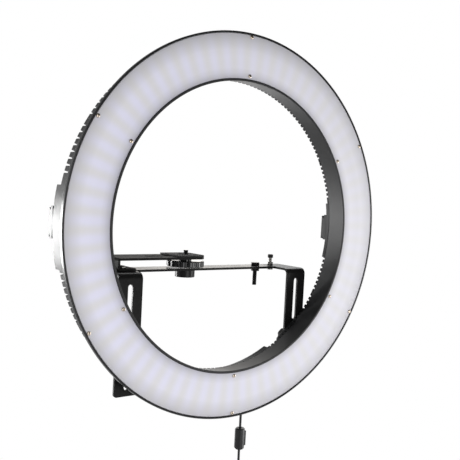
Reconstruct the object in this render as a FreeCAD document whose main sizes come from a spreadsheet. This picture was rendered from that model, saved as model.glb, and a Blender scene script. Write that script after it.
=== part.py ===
import FreeCAD, Part
import math
import os
import Sketcher

# LED ring light on a folded steel yoke.
# Everything is in millimetres, +Z up. The origin is the middle of the underside of the
# stand socket, where a light stand screws in. The light shines towards -Y.
# The ring's own frame has its middle at the ring's centre on the front rim's plane,
# +Y to the back, and a clock angle that runs from +X towards +Z.

Vector = FreeCAD.Vector
Rotation = FreeCAD.Rotation
Placement = FreeCAD.Placement
AXIS_Y = Vector(0, 1, 0)

# A size that follows another one is given as that one's name and what is added to it.

SIZES = [
    ("body_depth", 34.0, "front plane to the back of the rear covers"),
    ("rim_radius", 240.3, "outside radius of the front rim"),
    ("rim_width", 2.5, "radial width of the outer rim"),
    ("flange_depth", 5.4, "depth of the outer flange behind the front plane"),
    ("wall_radius", ("rim_radius", -8.3), "outside radius of the side wall"),
    ("wall", 2.6, "thickness of the outer side wall"),
    ("hole_radius", ("rim_radius", -59.8), "radius of the hole at the inner rim"),
    ("hole_rim_width", 3.1, "radial width of the inner rim"),
    ("bore_draft", 3.6, "growth of the bore radius from front to back"),
    ("bore_wall", 2.5, "thickness of the bore wall at its rear end"),
    ("bore_depth", ("body_depth", -2.7), "depth where the bore wall ends"),
    ("seat_depth", 2.4, "depth of the ledge that carries the diffuser"),
    ("ledge_width", 7.9, "width of the inner diffuser ledge"),
    ("floor_depth", 20.0, "depth of the floor that carries the LED boards"),
    ("floor", 2.0, "thickness of that floor"),
    ("diffuser_thickness", 1.5, "thickness of the diffuser"),
    ("edge_gap", 0.3, "running gap round trapped or neighbouring parts"),
    ("front_screws", 6, "screws on each of the two front circles"),
    ("outer_screw_circle", ("rim_radius", -4.9), "radius of the outer front screws"),
    ("inner_screw_circle", ("hole_radius", 7.1), "radius of the inner front screws"),
    ("front_screw_turn", 30.0, "clock angle of the first front screw"),
    ("front_head_radius", 2.3, "head radius of a front screw"),
    ("front_head_height", 1.3, "head height of a front screw"),
    ("front_shank_radius", 1.25, "shank radius of a front screw"),
    ("front_shank_length", 3.6, "shank length of a front screw"),
    ("board_inner_radius", ("hole_radius", 9.5), "inner radius of the LED boards"),
    ("board_outer_radius", ("wall_radius", -5.0), "outer radius of the LED boards"),
    ("board_thickness", 1.6, "thickness of every circuit board"),
    ("board_gap_turn", 0.4, "angle left open between two LED boards"),
    ("led_pairs", 64, "pairs of cool and warm LEDs round the ring"),
    ("led_turn", 4.27, "clock angle of the first cool LED"),
    ("led_circle", ("rim_radius", -31.3), "radius of the LED row"),
    ("led_side", 5.0, "side of one LED package"),
    ("led_height", 0.8, "height of one LED package"),
    ("covers", 6, "rear cover segments round the ring"),
    ("cover_gap_turn", 0.12, "angle left open between two rear covers"),
    ("cover_wall", 2.4, "wall of the rear covers"),
    ("vent_pitch", 2.0, "angle from one vent slot to the next"),
    ("vent_width", 2.6, "width of a vent slot"),
    ("vent_reach", 28.0, "angle of the last vent from the middle of its cover"),
    ("vent_side_start", ("floor_depth", 4.0), "depth where a vent starts on the side wall"),
    ("side_vents", 8, "vents at each end of the two covers with battery pods"),
    ("cover_screw_turn", 27.0, "angle of a cover screw from its cover's middle"),
    ("cover_screw_circle", ("rim_radius", -32.3), "radius of the cover screws"),
    ("cover_screw_radius", 1.5, "shank radius of a cover screw"),
    ("cover_head_radius", 2.9, "head radius of a cover screw"),
    ("cover_head_height", 1.7, "head height of a cover screw"),
    ("standoff_flats", 5.5, "width across the flats of a standoff"),
    ("hole_gap", 0.2, "radial clearance of a screw hole"),
    ("pod_inner_radius", ("hole_radius", 10.5), "inner radius of the pods on the back"),
    ("pod_depth", ("body_depth", 10.0), "front plane to the back of a battery pod"),
    ("pod_rise_turn", 10.4, "angle that a battery pod covers above the middle"),
    ("pod_drop_turn", 13.0, "angle that a battery pod covers below the middle"),
    ("plate_width", 36.0, "width of a battery plate"),
    ("plate_base", 6.0, "thickness of the battery plate's base"),
    ("plate_neck", 1.6, "height of the groove under the battery rails"),
    ("plate_rail", 2.4, "thickness of the battery rails"),
    ("plate_groove", 2.5, "depth of the groove under the battery rails"),
    ("plate_rail_inset", 1.5, "how far the rails stay inside the base"),
    ("latch_width", 10.0, "width of the battery latch"),
    ("latch_length", 6.4, "length of the battery latch"),
    ("latch_height", 4.2, "height of the battery latch"),
    ("latch_well", 5.0, "depth of the well that the latch drops into"),
    ("latch_inset", 3.0, "wall left between the latch well and the plate's end"),
    ("latch_travel", 2.0, "how far the battery latch is pressed"),
    ("contact_pitch", 8.0, "spacing of the battery contacts"),
    ("contact_width", 2.2, "width of a battery contact"),
    ("contact_length", 12.0, "length of a battery contact"),
    ("contact_height", 0.8, "height of a battery contact above the plate"),
    ("panel_depth", ("body_depth", 18.0), "front plane to the face of the control panel"),
    ("panel_start_turn", 275.5, "clock angle where the control panel starts"),
    ("panel_end_turn", 298.5, "clock angle where the control panel ends"),
    ("panel_drop", 1.0, "how far the control panel stays inside the side wall"),
    ("colour_turn", 279.0, "clock angle of the colour knob"),
    ("brightness_turn", 286.0, "clock angle of the brightness knob"),
    ("switch_turn", 293.5, "clock angle of the power switch"),
    ("control_circle", ("rim_radius", -32.3), "radius of the knobs and the switch"),
    ("knob_radius", 10.0, "outside radius of a control knob"),
    ("knob_top_radius", 8.8, "radius of a control knob at its top"),
    ("knob_height", 12.0, "height of a control knob"),
    ("knob_skirt", 2.5, "height of the knob's skirt"),
    ("knob_gap", 0.4, "gap under a control knob"),
    ("knob_flutes", 10, "grip flutes round a control knob"),
    ("knob_flute", 1.1, "depth of a grip flute"),
    ("knob_shaft_radius", 3.0, "radius of the knob's shaft"),
    ("knob_shaft_length", 8.0, "shaft length inside the panel"),
    ("shaft_gap", 0.1, "radial clearance of a turning shaft"),
    ("switch_length", 21.0, "length of the power switch's frame"),
    ("switch_width", 15.0, "width of the power switch's frame"),
    ("switch_lip", 1.0, "how far the frame laps over its cut-out"),
    ("switch_frame", 1.8, "height of the frame above the panel"),
    ("switch_depth", 9.0, "depth of the switch behind the panel"),
    ("rocker_length", 13.0, "length of the rocker"),
    ("rocker_width", 8.4, "width of the rocker"),
    ("rocker_rise", 2.6, "height of the rocker's ends above its pivot"),
    ("rocker_dip", 1.6, "height of the rocker's middle above its pivot"),
    ("rocker_drop", 2.2, "depth of the rocker below its pivot"),
    ("rocker_tilt", 10.0, "tilt of the rocker to each side"),
    ("rocker_gap", 0.4, "gap round the rocker"),
    ("cord_offset", 50.5, "distance of the hanging cord from the ring's centre line"),
    ("cord_depth", ("panel_depth", -7.0), "depth of the hanging cord behind the front plane"),
    ("inlet_drop", ("rim_radius", -22.3), "height of the inlet's face below the ring's centre"),
    ("inlet_notch", 19.0, "width of the notch round the inlet"),
    ("inlet_notch_start", ("body_depth", 2.0), "depth where that notch starts"),
    ("inlet_radius", 4.0, "radius of the inlet's body"),
    ("inlet_flange_radius", 5.5, "radius of the inlet's flange"),
    ("inlet_flange", 1.5, "thickness of the inlet's flange"),
    ("inlet_length", 11.0, "length of the inlet's body"),
    ("barrel_radius", 2.75, "outside radius of the plug's barrel"),
    ("barrel_length", 9.0, "length of the plug's barrel"),
    ("pin_radius", 1.0, "radius of the inlet's centre pin"),
    ("stud_drop", ("rim_radius", -80.3), "height of the clamp bolts below the ring's centre"),
    ("leg_offset", 132.5, "distance of each leg's middle from the centre line"),
    ("leg_width", 33.0, "width of a yoke leg"),
    ("leg_length", ("stud_drop", -12.0), "top of the yoke to the bottom of a leg"),
    ("leg_corner", 4.0, "corner radius at the bottom of a leg"),
    ("steel", 3.0, "thickness of the yoke's steel"),
    ("bend_radius", 8.0, "outside radius of the yoke's bends"),
    ("arm_reach", 45.0, "front of the legs to the stand socket's axis"),
    ("bar_width", 30.0, "width of the bar across the back"),
    ("slot_width", 6.6, "width of the slots in the legs"),
    ("slot_length", 58.0, "length of each slot in the legs"),
    ("upper_slot_drop", 42.5, "top of the yoke to the middle of the upper slots"),
    ("lower_slot_drop", ("stud_drop", -48.5), "top of the yoke to the middle of the lower slots"),
    ("pad_thickness", 4.7, "thickness of the pads between ring and legs"),
    ("pad_width", 42.0, "width of a leg pad round the ring"),
    ("leg_gap", 0.3, "sliding gap between the ring's parts and the legs"),
    ("stud_radius", 3.0, "radius of a clamp bolt"),
    ("stud_head_radius", 6.0, "radius of a clamp bolt's head"),
    ("stud_head", 3.0, "height of a clamp bolt's head"),
    ("washer_radius", 9.0, "radius of the washers behind the legs"),
    ("washer", 1.5, "thickness of those washers"),
    ("clamp_radius", 15.0, "radius of a clamp knob"),
    ("clamp_height", 13.0, "height of a clamp knob"),
    ("clamp_hub_radius", 8.0, "radius of a clamp knob's hub"),
    ("clamp_hub", 3.0, "height of that hub"),
    ("clamp_lobes", 5, "lobes of a clamp knob"),
    ("clamp_notch", 2.4, "depth of the notches between the lobes"),
    ("stud_end", 1.5, "length of bolt that shows behind a clamp knob"),
    ("socket_offset", 26.0, "distance of the stand socket from the centre line"),
    ("ring_rise", 71.0, "height of the ring's centre above the socket's underside"),
    ("socket_radius", 13.0, "radius of the stand socket"),
    ("socket_height", 9.5, "height of the stand socket below the bar"),
    ("thread_radius", 2.6, "radius of the 1/4 inch threads as drilled"),
    ("thread_depth", 8.0, "depth of the stand thread"),
    ("camera_plate_top", 28.0, "height of the camera plate above the origin"),
    ("camera_plate_width", 48.0, "depth of the camera plate, front to back"),
    ("camera_plate_left", ("leg_offset", -19.5), "reach of the camera plate to the left"),
    ("camera_plate_right", 18.0, "reach of the camera plate to the right"),
    ("camera_plate_corner", 11.0, "corner radius of the camera plate"),
    ("camera_foot", 25.0, "length of the camera plate's foot"),
    ("camera_bend", 4.0, "outside radius of the camera plate's bends"),
    ("camera_slot_left", 63.0, "reach of the camera slot to the left"),
    ("camera_slot_right", 6.0, "reach of the camera slot to the right"),
    ("camera_slot_width", 6.8, "width of the camera slot"),
    ("rubber_left", 25.0, "reach of the rubber pad to the left"),
    ("rubber", 2.0, "thickness of the rubber pad"),
    ("foot_screw_inset", 12.0, "foot screws from the camera plate's left end"),
    ("foot_screw_front", 12.0, "front foot screw from the socket's axis"),
    ("foot_screw_back", 6.0, "rear foot screw from the socket's axis"),
    ("foot_screw_radius", 2.5, "shank radius of the foot screws"),
    ("foot_head_radius", 4.3, "head radius of the foot screws"),
    ("foot_head", 2.6, "head height of the foot screws"),
    ("foot_nut_flats", 8.0, "width across the flats of the foot nuts"),
    ("foot_nut", 4.0, "height of the foot nuts"),
    ("wheel_radius", 25.0, "radius of the camera screw's wheel"),
    ("wheel_height", 8.0, "height of that wheel"),
    ("wheel_gap", 1.5, "gap between the wheel and the bar"),
    ("wheel_hub_radius", 8.0, "radius of the wheel's hub"),
    ("wheel_scallops", 12, "scallops round the wheel"),
    ("scallop", 2.2, "depth of a scallop"),
    ("camera_thread_radius", 3.1, "radius of the camera screw"),
    ("camera_thread", 5.0, "length of the camera screw's thread"),
    ("camera_neck_radius", 2.7, "radius of the relieved neck below that thread"),
    ("camera_neck_end", 0.5, "top of the relieved neck above the rubber pad"),
    ("peg_offset", ("leg_offset", -12.5), "accessory bolt from the socket's axis"),
    ("peg_radius", 3.1, "radius of the accessory bolt"),
    ("peg_drop", 15.0, "length of the accessory bolt below the origin"),
    ("peg_nut_flats", 11.0, "width across the flats of its head and nut"),
    ("peg_nut", 4.5, "height of its head and nut"),
    ("post_offset", ("leg_offset", 20.5), "arm bolt from the socket's axis"),
    ("post_back", 6.0, "arm bolt behind the socket's axis"),
    ("post_top", 27.5, "top of the arm bolt's cap above the origin"),
    ("post_radius", 2.5, "radius of the arm bolt"),
    ("post_cap_radius", 4.0, "radius of the arm bolt's rubber cap"),
    ("post_cap", 5.0, "height of the arm bolt's rubber cap"),
    ("cord_diameter", 3.3, "diameter of the cord"),
    ("plug_radius", 4.75, "radius of the plug's grip"),
    ("plug_length", 21.0, "length of the plug's grip"),
    ("relief_length", 14.0, "length of the plug's strain relief"),
    ("relief_radius", 3.5, "radius of the strain relief at the grip"),
    ("relief_end_radius", 2.1, "radius of the strain relief at its end"),
    ("ferrite_radius", 6.85, "radius of the ferrite's shell"),
    ("ferrite_length", 29.0, "length of the ferrite's shell"),
    ("ferrite_end", 1.4, "step at the shell's ends"),
    ("seam", 0.1, "gap between the two halves of the shell"),
    ("ferrite_drop", ("rim_radius", 49.2), "ferrite's middle below the ring's centre"),
    ("ferrite_core_radius", 5.2, "radius of the ferrite ring inside the shell"),
    ("ferrite_core_length", 20.0, "length of the ferrite ring"),
    ("latch_bump", 1.2, "how far the shell's latch stands out"),
    ("coil_radius", 22.0, "outermost radius of the coil at the cord's middle"),
    ("coil_step", 3.95, "spacing of the coil's turns and layers"),
    ("coil_straight", 10.0, "length of the coil's straight sides"),
    ("coil_tail", 27.0, "length of cord from the coil's last turn to the connector"),
    ("tie_wall", 1.2, "thickness of the strap round the coil"),
    ("tie_width", 8.0, "width of that strap"),
    ("connector_radius", 4.6, "radius of the connector at the cord's far end"),
    ("connector_length", 32.0, "length of that connector"),
]


class Size:
    """A number of the sheet, or a sum worked out from it, with its expression."""

    def __init__(self, number, text):
        self.number = number
        self.text = text

    def joined(self, other, sign, number):
        return Size(number, f"({self.text} {sign} {as_size(other).text})")

    def __add__(self, other):
        return self.joined(other, "+", self.number + as_size(other).number)

    def __sub__(self, other):
        return self.joined(other, "-", self.number - as_size(other).number)

    def __mul__(self, other):
        return self.joined(other, "*", self.number * as_size(other).number)

    def __truediv__(self, other):
        return self.joined(other, "/", self.number / as_size(other).number)

    def __neg__(self):
        return Size(-self.number, f"(0 - {self.text})")

    def __radd__(self, other):
        return as_size(other) + self

    def __rsub__(self, other):
        return as_size(other) - self

    def __rmul__(self, other):
        return as_size(other) * self


def as_size(value):
    return value if isinstance(value, Size) else Size(float(value), str(value))


def cosine(turn):
    turn = as_size(turn)
    return Size(math.cos(math.radians(turn.number)), f"cos({turn.text} * 1deg)")


def sine(turn):
    turn = as_size(turn)
    return Size(math.sin(math.radians(turn.number)), f"sin({turn.text} * 1deg)")


class SizeTable:
    """Writes the driving sizes into the sheet and hands them out by name."""

    def __init__(self, document, rows):
        sheet = document.addObject("Spreadsheet::Sheet", "Sizes")
        for row, (alias, number, meaning) in enumerate(rows, start=1):
            cell = str(number)
            if isinstance(number, tuple):
                base, more = number
                cell = f"={base} + ({more})"
                number = getattr(self, base).number + more
            sheet.set(f"A{row}", meaning)
            sheet.set(f"B{row}", cell)
            sheet.setAlias(f"B{row}", alias)
            setattr(self, alias, Size(float(number), f"Sizes.{alias}"))


doc = FreeCAD.newDocument("RingLight")
size = SizeTable(doc, SIZES)
doc.recompute()
nodes = []


# Values that several pieces share, each worked out from the sheet.

bore_back = size.hole_radius + size.bore_draft
floor_back = size.floor_depth + size.floor
cover_inside = size.body_depth - size.cover_wall
bar_top = size.socket_height + size.steel
leg_front = -size.arm_reach
leg_back = leg_front + size.steel
pad_front = leg_front - size.leg_gap - size.pad_thickness
ring_setback = pad_front - size.body_depth
ring_place = (size.socket_offset, ring_setback, size.ring_rise)
leg_centre_x = size.socket_offset
plate_back = size.pod_depth + size.plate_base + size.plate_neck + size.plate_rail
cord_x = size.socket_offset + size.cord_offset
cord_y = ring_setback + size.cord_depth


def bind(thing, name, value):
    """Ties a property to the sheet, or sets it where it is a plain number."""
    if isinstance(value, Size):
        thing.setExpression(name, value.text)
    else:
        setattr(thing, name, value)


def place(thing, where=(0, 0, 0), turn=None):
    """Puts a finished object at where, turned by the given rotation."""
    where = [as_size(value) for value in where]
    thing.Placement = Placement(Vector(*[value.number for value in where]), turn or Rotation())
    for axis, value in zip("xyz", where):
        thing.setExpression(f"Placement.Base.{axis}", value.text)
    return thing


def clock(turn):
    """The rotation that brings +X to a clock angle of the ring."""
    return Rotation(AXIS_Y, -as_size(turn).number)


def node(thing, label):
    thing.Label = label
    nodes.append(thing)
    return thing


def origin_feature(body, role):
    for feature in body.Origin.OriginFeatures:
        if feature.Role == role:
            return feature
    raise ValueError(role)


def new_body(label):
    return node(doc.addObject("PartDesign::Body", label), label)


def new_sketch(body, plane="XY_Plane", turn=None, lift=None):
    """A sketch on one of the body's own planes, turned or lifted from it."""
    sketch = body.newObject("Sketcher::SketchObject", "Sketch")
    sketch.AttachmentSupport = [(origin_feature(body, plane), "")]
    sketch.MapMode = "FlatFace"
    if turn is not None:
        sketch.AttachmentOffset = Placement(Vector(), turn)
    if lift is not None:
        sketch.setExpression("AttachmentOffset.Base.z", as_size(lift).text)
    return sketch


def fix(sketch, kind, geometry, point, value):
    """Holds one coordinate of a sketch point at a value of the sheet."""
    value = as_size(value)
    number = sketch.addConstraint(
        Sketcher.Constraint(kind, -1, 1, geometry, point, value.number)
    )
    sketch.setExpression(f"Constraints[{number}]", value.text)


def outline(sketch, points):
    """A closed outline of straight edges through points given as sizes."""
    points = [(as_size(x), as_size(y)) for x, y in points]
    corners = [Vector(x.number, y.number, 0) for x, y in points]
    following = corners[1:] + corners[:1]
    edges = [Part.LineSegment(a, b) for a, b in zip(corners, following)]
    first = sketch.GeometryCount
    sketch.addGeometry(edges)
    count = len(points)
    rows = []
    for index in range(count):
        after = first + (index + 1) % count
        rows.append(Sketcher.Constraint("Coincident", first + index, 2, after, 1))
    sizes = []
    for index, (x, y) in enumerate(points):
        for kind, value in (("DistanceX", x), ("DistanceY", y)):
            rows.append(Sketcher.Constraint(kind, first + index, 1, value.number))
            sizes.append(value)
    start = sketch.ConstraintCount + count
    sketch.addConstraint(rows)
    for index, value in enumerate(sizes, start=start):
        sketch.setExpression(f"Constraints[{index}]", value.text)


def rectangle(sketch, left, right, low, high):
    outline(sketch, [(left, low), (right, low), (right, high), (left, high)])


def circle(sketch, x, y, radius):
    x, y, radius = as_size(x), as_size(y), as_size(radius)
    geometry = sketch.addGeometry(
        Part.Circle(Vector(x.number, y.number, 0), Vector(0, 0, 1), radius.number)
    )
    fix(sketch, "DistanceX", geometry, 3, x)
    fix(sketch, "DistanceY", geometry, 3, y)
    number = sketch.addConstraint(Sketcher.Constraint("Radius", geometry, radius.number))
    sketch.setExpression(f"Constraints[{number}]", radius.text)


def many_sided(sketch, x, y, radius, sides):
    """A round outline in few sides, whose flats lie at the radius."""
    corner = as_size(radius) / math.cos(math.pi / sides)
    points = []
    for index in range(sides):
        turn = 360.0 * (index + 0.5) / sides
        points.append((x + corner * cosine(turn), y + corner * sine(turn)))
    outline(sketch, points)


def upright_slot(sketch, x, y, length, width):
    """A round-ended slot in few sides that stands along the sketch's second axis."""
    radius = width / 2
    half = length / 2 - radius
    points = []
    for turn in range(0, 181, 30):
        points.append((x + radius * cosine(turn), y + half + radius * sine(turn)))
    for turn in range(180, 361, 30):
        points.append((x + radius * cosine(turn), y - half + radius * sine(turn)))
    outline(sketch, points)


def lobed(sketch, count, pattern):
    """An outline that repeats a pattern of angles and radii all the way round."""
    points = []
    for index in range(count):
        for turn, radius in pattern:
            angle = 360.0 / count * index + turn
            points.append((radius * cosine(angle), radius * sine(angle)))
    outline(sketch, points)


def feature(body, kind, sketch, **settings):
    """Adds a feature made from a sketch and leaves it as the body's tip."""
    made = body.newObject(f"PartDesign::{kind}", kind)
    made.Profile = sketch
    if kind in ("Revolution", "Groove"):
        made.ReferenceAxis = (sketch, ["V_Axis"])
    for name, value in settings.items():
        bind(made, name, value)
    body.Tip = made
    return made


def revolved(body, points):
    """A section of radius and depth turned round the ring's axis."""
    sketch = new_sketch(body)
    outline(sketch, points)
    return feature(body, "Revolution", sketch, Angle=360.0)


def cut_through(body, sketch, depth=None):
    """A pocket that runs both ways from its sketch."""
    if depth is None:
        return feature(body, "Pocket", sketch, Type="ThroughAll", Midplane=True)
    return feature(body, "Pocket", sketch, Length=depth, Midplane=True)


def round_edges(body, radius, wanted):
    """Rounds those edges of the body that wanted picks by their middle and direction."""
    doc.recompute()
    names = []
    for index, edge in enumerate(body.Shape.Edges, start=1):
        if edge.Curve.TypeId != "Part::GeomLine":
            continue
        along = edge.tangentAt(edge.FirstParameter)
        if wanted(edge.CenterOfMass, along):
            names.append(f"Edge{index}")
    base = body.Tip
    fillet = body.newObject("PartDesign::Fillet", "Fillet")
    fillet.Base = (base, names)
    bind(fillet, "Radius", radius)
    body.Tip = fillet
    return fillet


def polar_pattern(body, original, count, sweep, backwards=False):
    """Repeats a feature round the body's Y axis, from the first to the last copy."""
    pattern = body.newObject("PartDesign::PolarPattern", "PolarPattern")
    pattern.Originals = [original]
    pattern.Axis = (origin_feature(body, "Y_Axis"), [""])
    pattern.Occurrences = int(as_size(count).number)
    bind(pattern, "Angle", sweep)
    pattern.Reversed = backwards
    body.Tip = pattern
    return pattern


def cylinder(radius, height, where=(0, 0, 0), turn=None):
    made = doc.addObject("Part::Cylinder", "Cylinder")
    bind(made, "Radius", radius)
    bind(made, "Height", height)
    return place(made, where, turn)


def block(length, width, height, where=(0, 0, 0), turn=None):
    """A box whose corner nearest the origin stands at where."""
    made = doc.addObject("Part::Box", "Box")
    bind(made, "Length", length)
    bind(made, "Width", width)
    bind(made, "Height", height)
    return place(made, where, turn)


def prism(sides, radius, height, where=(0, 0, 0), turn=None):
    made = doc.addObject("Part::Prism", "Prism")
    made.Polygon = sides
    bind(made, "Circumradius", radius)
    bind(made, "Height", height)
    return place(made, where, turn)


def hexagon(flats, height, where=(0, 0, 0), turn=None):
    return prism(6, flats / math.sqrt(3), height, where, turn)


def fused(*parts):
    made = doc.addObject("Part::MultiFuse", "Fusion")
    made.Shapes = list(parts)
    return made


def drilled(base, *tools):
    made = doc.addObject("Part::Cut", "Cut")
    made.Base = base
    made.Tool = tools[0] if len(tools) == 1 else fused(*tools)
    return made


TO_BACK = Rotation(Vector(1, 0, 0), -90)


def copies(label, pattern, places):
    """Separate solids of one kind: a node with a copy of pattern at each place."""
    doc.recompute()
    group = doc.addObject("Part::Feature", label)
    made = []
    for where in places:
        copy = pattern.Shape.copy()
        copy.Placement = where.multiply(copy.Placement)
        made.append(copy)
    group.Shape = Part.makeCompound(made)
    return node(group, label)


# Front housing: one moulded ring with the outer rim and flange, the side wall, the floor
# behind the LEDs and the bore wall with its own rim.


def make_front_housing():
    body = new_body("front_housing")
    rim_inside = size.rim_radius - size.rim_width
    wall_inside = size.wall_radius - size.wall
    hole_rim_back = size.hole_radius + size.hole_rim_width
    ledge_end = hole_rim_back + size.ledge_width
    bore_outside = bore_back + size.bore_wall
    revolved(
        body,
        [
            (rim_inside, 0),
            (size.rim_radius, 0),
            (size.rim_radius, size.flange_depth),
            (size.wall_radius, size.flange_depth),
            (size.wall_radius, floor_back),
            (bore_outside, floor_back),
            (bore_outside, size.bore_depth),
            (bore_back, size.bore_depth),
            (size.hole_radius, 0),
            (hole_rim_back, 0),
            (hole_rim_back, size.seat_depth),
            (ledge_end, size.seat_depth),
            (bore_outside, size.floor_depth),
            (wall_inside, size.floor_depth),
            (wall_inside, size.seat_depth),
            (rim_inside, size.seat_depth),
        ],
    )
    place(body, ring_place)


# Diffuser: an opal ring let in between the two rims, screwed down on two circles.


def make_diffuser():
    body = new_body("diffuser")
    front = size.seat_depth - size.diffuser_thickness
    inner = size.hole_radius + size.hole_rim_width + size.edge_gap
    outer = size.rim_radius - size.rim_width - size.edge_gap
    revolved(
        body,
        [(inner, front), (outer, front), (outer, size.seat_depth), (inner, size.seat_depth)],
    )
    place(body, ring_place)


def screw(head_radius, head_height, shank_radius, shank_length):
    """A screw whose head ends at y = 0 and whose shank points to +Y."""
    head = prism(8, head_radius, head_height, (0, -head_height, 0), TO_BACK)
    shank = prism(4, shank_radius, shank_length, (0, 0, 0), TO_BACK)
    return fused(head, shank)


def ring_spot(radius, turn, depth, spin=None):
    """The place of something at a radius, a clock angle and a depth of the ring."""
    base = Placement(Vector(*[as_size(value).number for value in ring_place]), clock(turn))
    spot = Vector(as_size(radius).number, as_size(depth).number, 0)
    return base.multiply(Placement(spot, spin or Rotation()))


def make_front_screws():
    pattern = screw(
        size.front_head_radius,
        size.front_head_height,
        size.front_shank_radius,
        size.front_shank_length,
    )
    front = size.seat_depth - size.diffuser_thickness
    places = []
    count = int(size.front_screws.number)
    for index in range(count):
        turn = size.front_screw_turn.number + 360.0 / count * index
        places.append(ring_spot(size.outer_screw_circle, turn, front))
        places.append(ring_spot(size.inner_screw_circle, turn, front))
    copies("diffuser_screws", pattern, places)


# LED boards: four quarter rings on the floor, with a cool and a warm LED in turn.

QUARTERS = ["upper_right", "upper_left", "lower_left", "lower_right"]


def arc_plate(body, inner, outer, low, high, start, end, steps):
    """A flat plate between two radii and two angles, its arcs in straight steps."""
    turns = [start + (end - start) * index / steps for index in range(steps + 1)]
    points = [(outer * cosine(turn), outer * sine(turn)) for turn in turns]
    points += [(inner * cosine(turn), inner * sine(turn)) for turn in reversed(turns)]
    sketch = new_sketch(body, "XZ_Plane", lift=-low)
    outline(sketch, points)
    feature(body, "Pad", sketch, Length=high - low, Reversed=True)


def make_led_boards():
    front = size.floor_depth - size.board_thickness
    sweep = 90.0 - size.board_gap_turn.number
    for index, name in enumerate(QUARTERS):
        body = new_body(f"led_board_{name}")
        arc_plate(
            body,
            size.board_inner_radius,
            size.board_outer_radius,
            front,
            size.floor_depth,
            90.0 * index,
            90.0 * index + sweep,
            8,
        )
        place(body, ring_place)


def make_leds():
    front = size.floor_depth - size.board_thickness - size.led_height
    chip = block(
        size.led_side,
        size.led_height,
        size.led_side,
        (-size.led_side / 2, 0, -size.led_side / 2),
    )
    pairs = int(size.led_pairs.number)
    pitch = 360.0 / pairs
    for label, shift in (("leds_cool", 0.0), ("leds_warm", 0.5)):
        places = []
        for index in range(pairs):
            turn = size.led_turn.number + (index + shift) * pitch
            places.append(ring_spot(size.led_circle, turn, front))
        copies(label, chip, places)


# Rear covers: six moulded segments with a skirt on the side wall and a back wall that
# ends flush with the bore. Vent slots run from edge to edge every two degrees, down the
# skirt and out over the bore wall, so each bar between them stands on both walls. The
# arcs are in straight steps of one slot, whose corners the slots take away.

COVERS = ["right", "upper_right", "upper_left", "left", "lower_left", "lower_right"]


def cut_vents(body, first, count, backwards):
    """Cuts vents from the angle first towards the middle of the cover."""
    middle = (bore_back + size.wall_radius) / 2
    outside = size.wall_radius + size.cover_wall
    inside = bore_back - size.cover_wall
    behind = size.body_depth + size.cover_wall
    sketch = new_sketch(body, turn=clock(first))
    outline(
        sketch,
        [
            (inside, size.bore_depth),
            (middle, size.bore_depth),
            (middle, size.vent_side_start),
            (outside, size.vent_side_start),
            (outside, behind),
            (inside, behind),
        ],
    )
    slot = cut_through(body, sketch, size.vent_width)
    sweep = (count - 1) * size.vent_pitch
    polar_pattern(body, slot, count, sweep, backwards)


def bore_holes(body, holes):
    """Holes through a cover, each given as radius, angle, hole radius and sides."""
    sketch = new_sketch(body, "XZ_Plane")
    for radius, turn, hole, sides in holes:
        many_sided(sketch, radius * cosine(turn), radius * sine(turn), hole, sides)
    cut_through(body, sketch)


stud_turn = math.degrees(math.atan2(size.stud_drop.number, size.leg_offset.number))
stud_circle = math.hypot(size.stud_drop.number, size.leg_offset.number)


def make_rear_covers():
    sweep = 360.0 / int(size.covers.number)
    half_count = int(size.vent_reach.number / size.vent_pitch.number) + 1
    screw_hole = size.cover_screw_radius + size.hole_gap
    stud_hole = size.stud_radius + size.hole_gap
    for index, name in enumerate(COVERS):
        turn = sweep * index
        body = new_body(f"rear_cover_{name}")
        half = (sweep - size.cover_gap_turn) / 2
        steps = half_count * 2
        back = size.body_depth
        arc_plate(body, bore_back, size.wall_radius, cover_inside, back, -half, half, steps)
        inside = size.wall_radius - size.cover_wall
        start = floor_back + size.edge_gap
        arc_plate(body, inside, size.wall_radius, start, cover_inside, -half, half, steps)
        holes = [
            (size.cover_screw_circle, size.cover_screw_turn, screw_hole, 6),
            (size.cover_screw_circle, -size.cover_screw_turn, screw_hole, 6),
        ]
        if name.startswith("lower"):
            side = 360 - stud_turn if name == "lower_right" else 180 + stud_turn
            holes.append((as_size(stud_circle), as_size(side - turn), stud_hole, 8))
        bore_holes(body, holes)
        if name in ("right", "left"):
            cut_vents(body, size.vent_reach, size.side_vents, False)
            cut_vents(body, -size.vent_reach, size.side_vents, True)
            up = size.pod_rise_turn
            down = size.pod_drop_turn
            start, end = (-down, up) if name == "right" else (-up, down)
            inside = size.pod_inner_radius
            outside = size.wall_radius
            arc_plate(body, inside, outside, cover_inside, size.pod_depth, start, end, 10)
        else:
            cut_vents(body, size.vent_reach, as_size(half_count), False)
            cut_vents(body, -size.vent_reach, as_size(half_count - 1), True)
        place(body, ring_place, clock(turn))


# Control box: a moulded box on the lower right cover with the two knobs, the power
# switch and, in a notch that faces down, the inlet for the cord.


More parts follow.
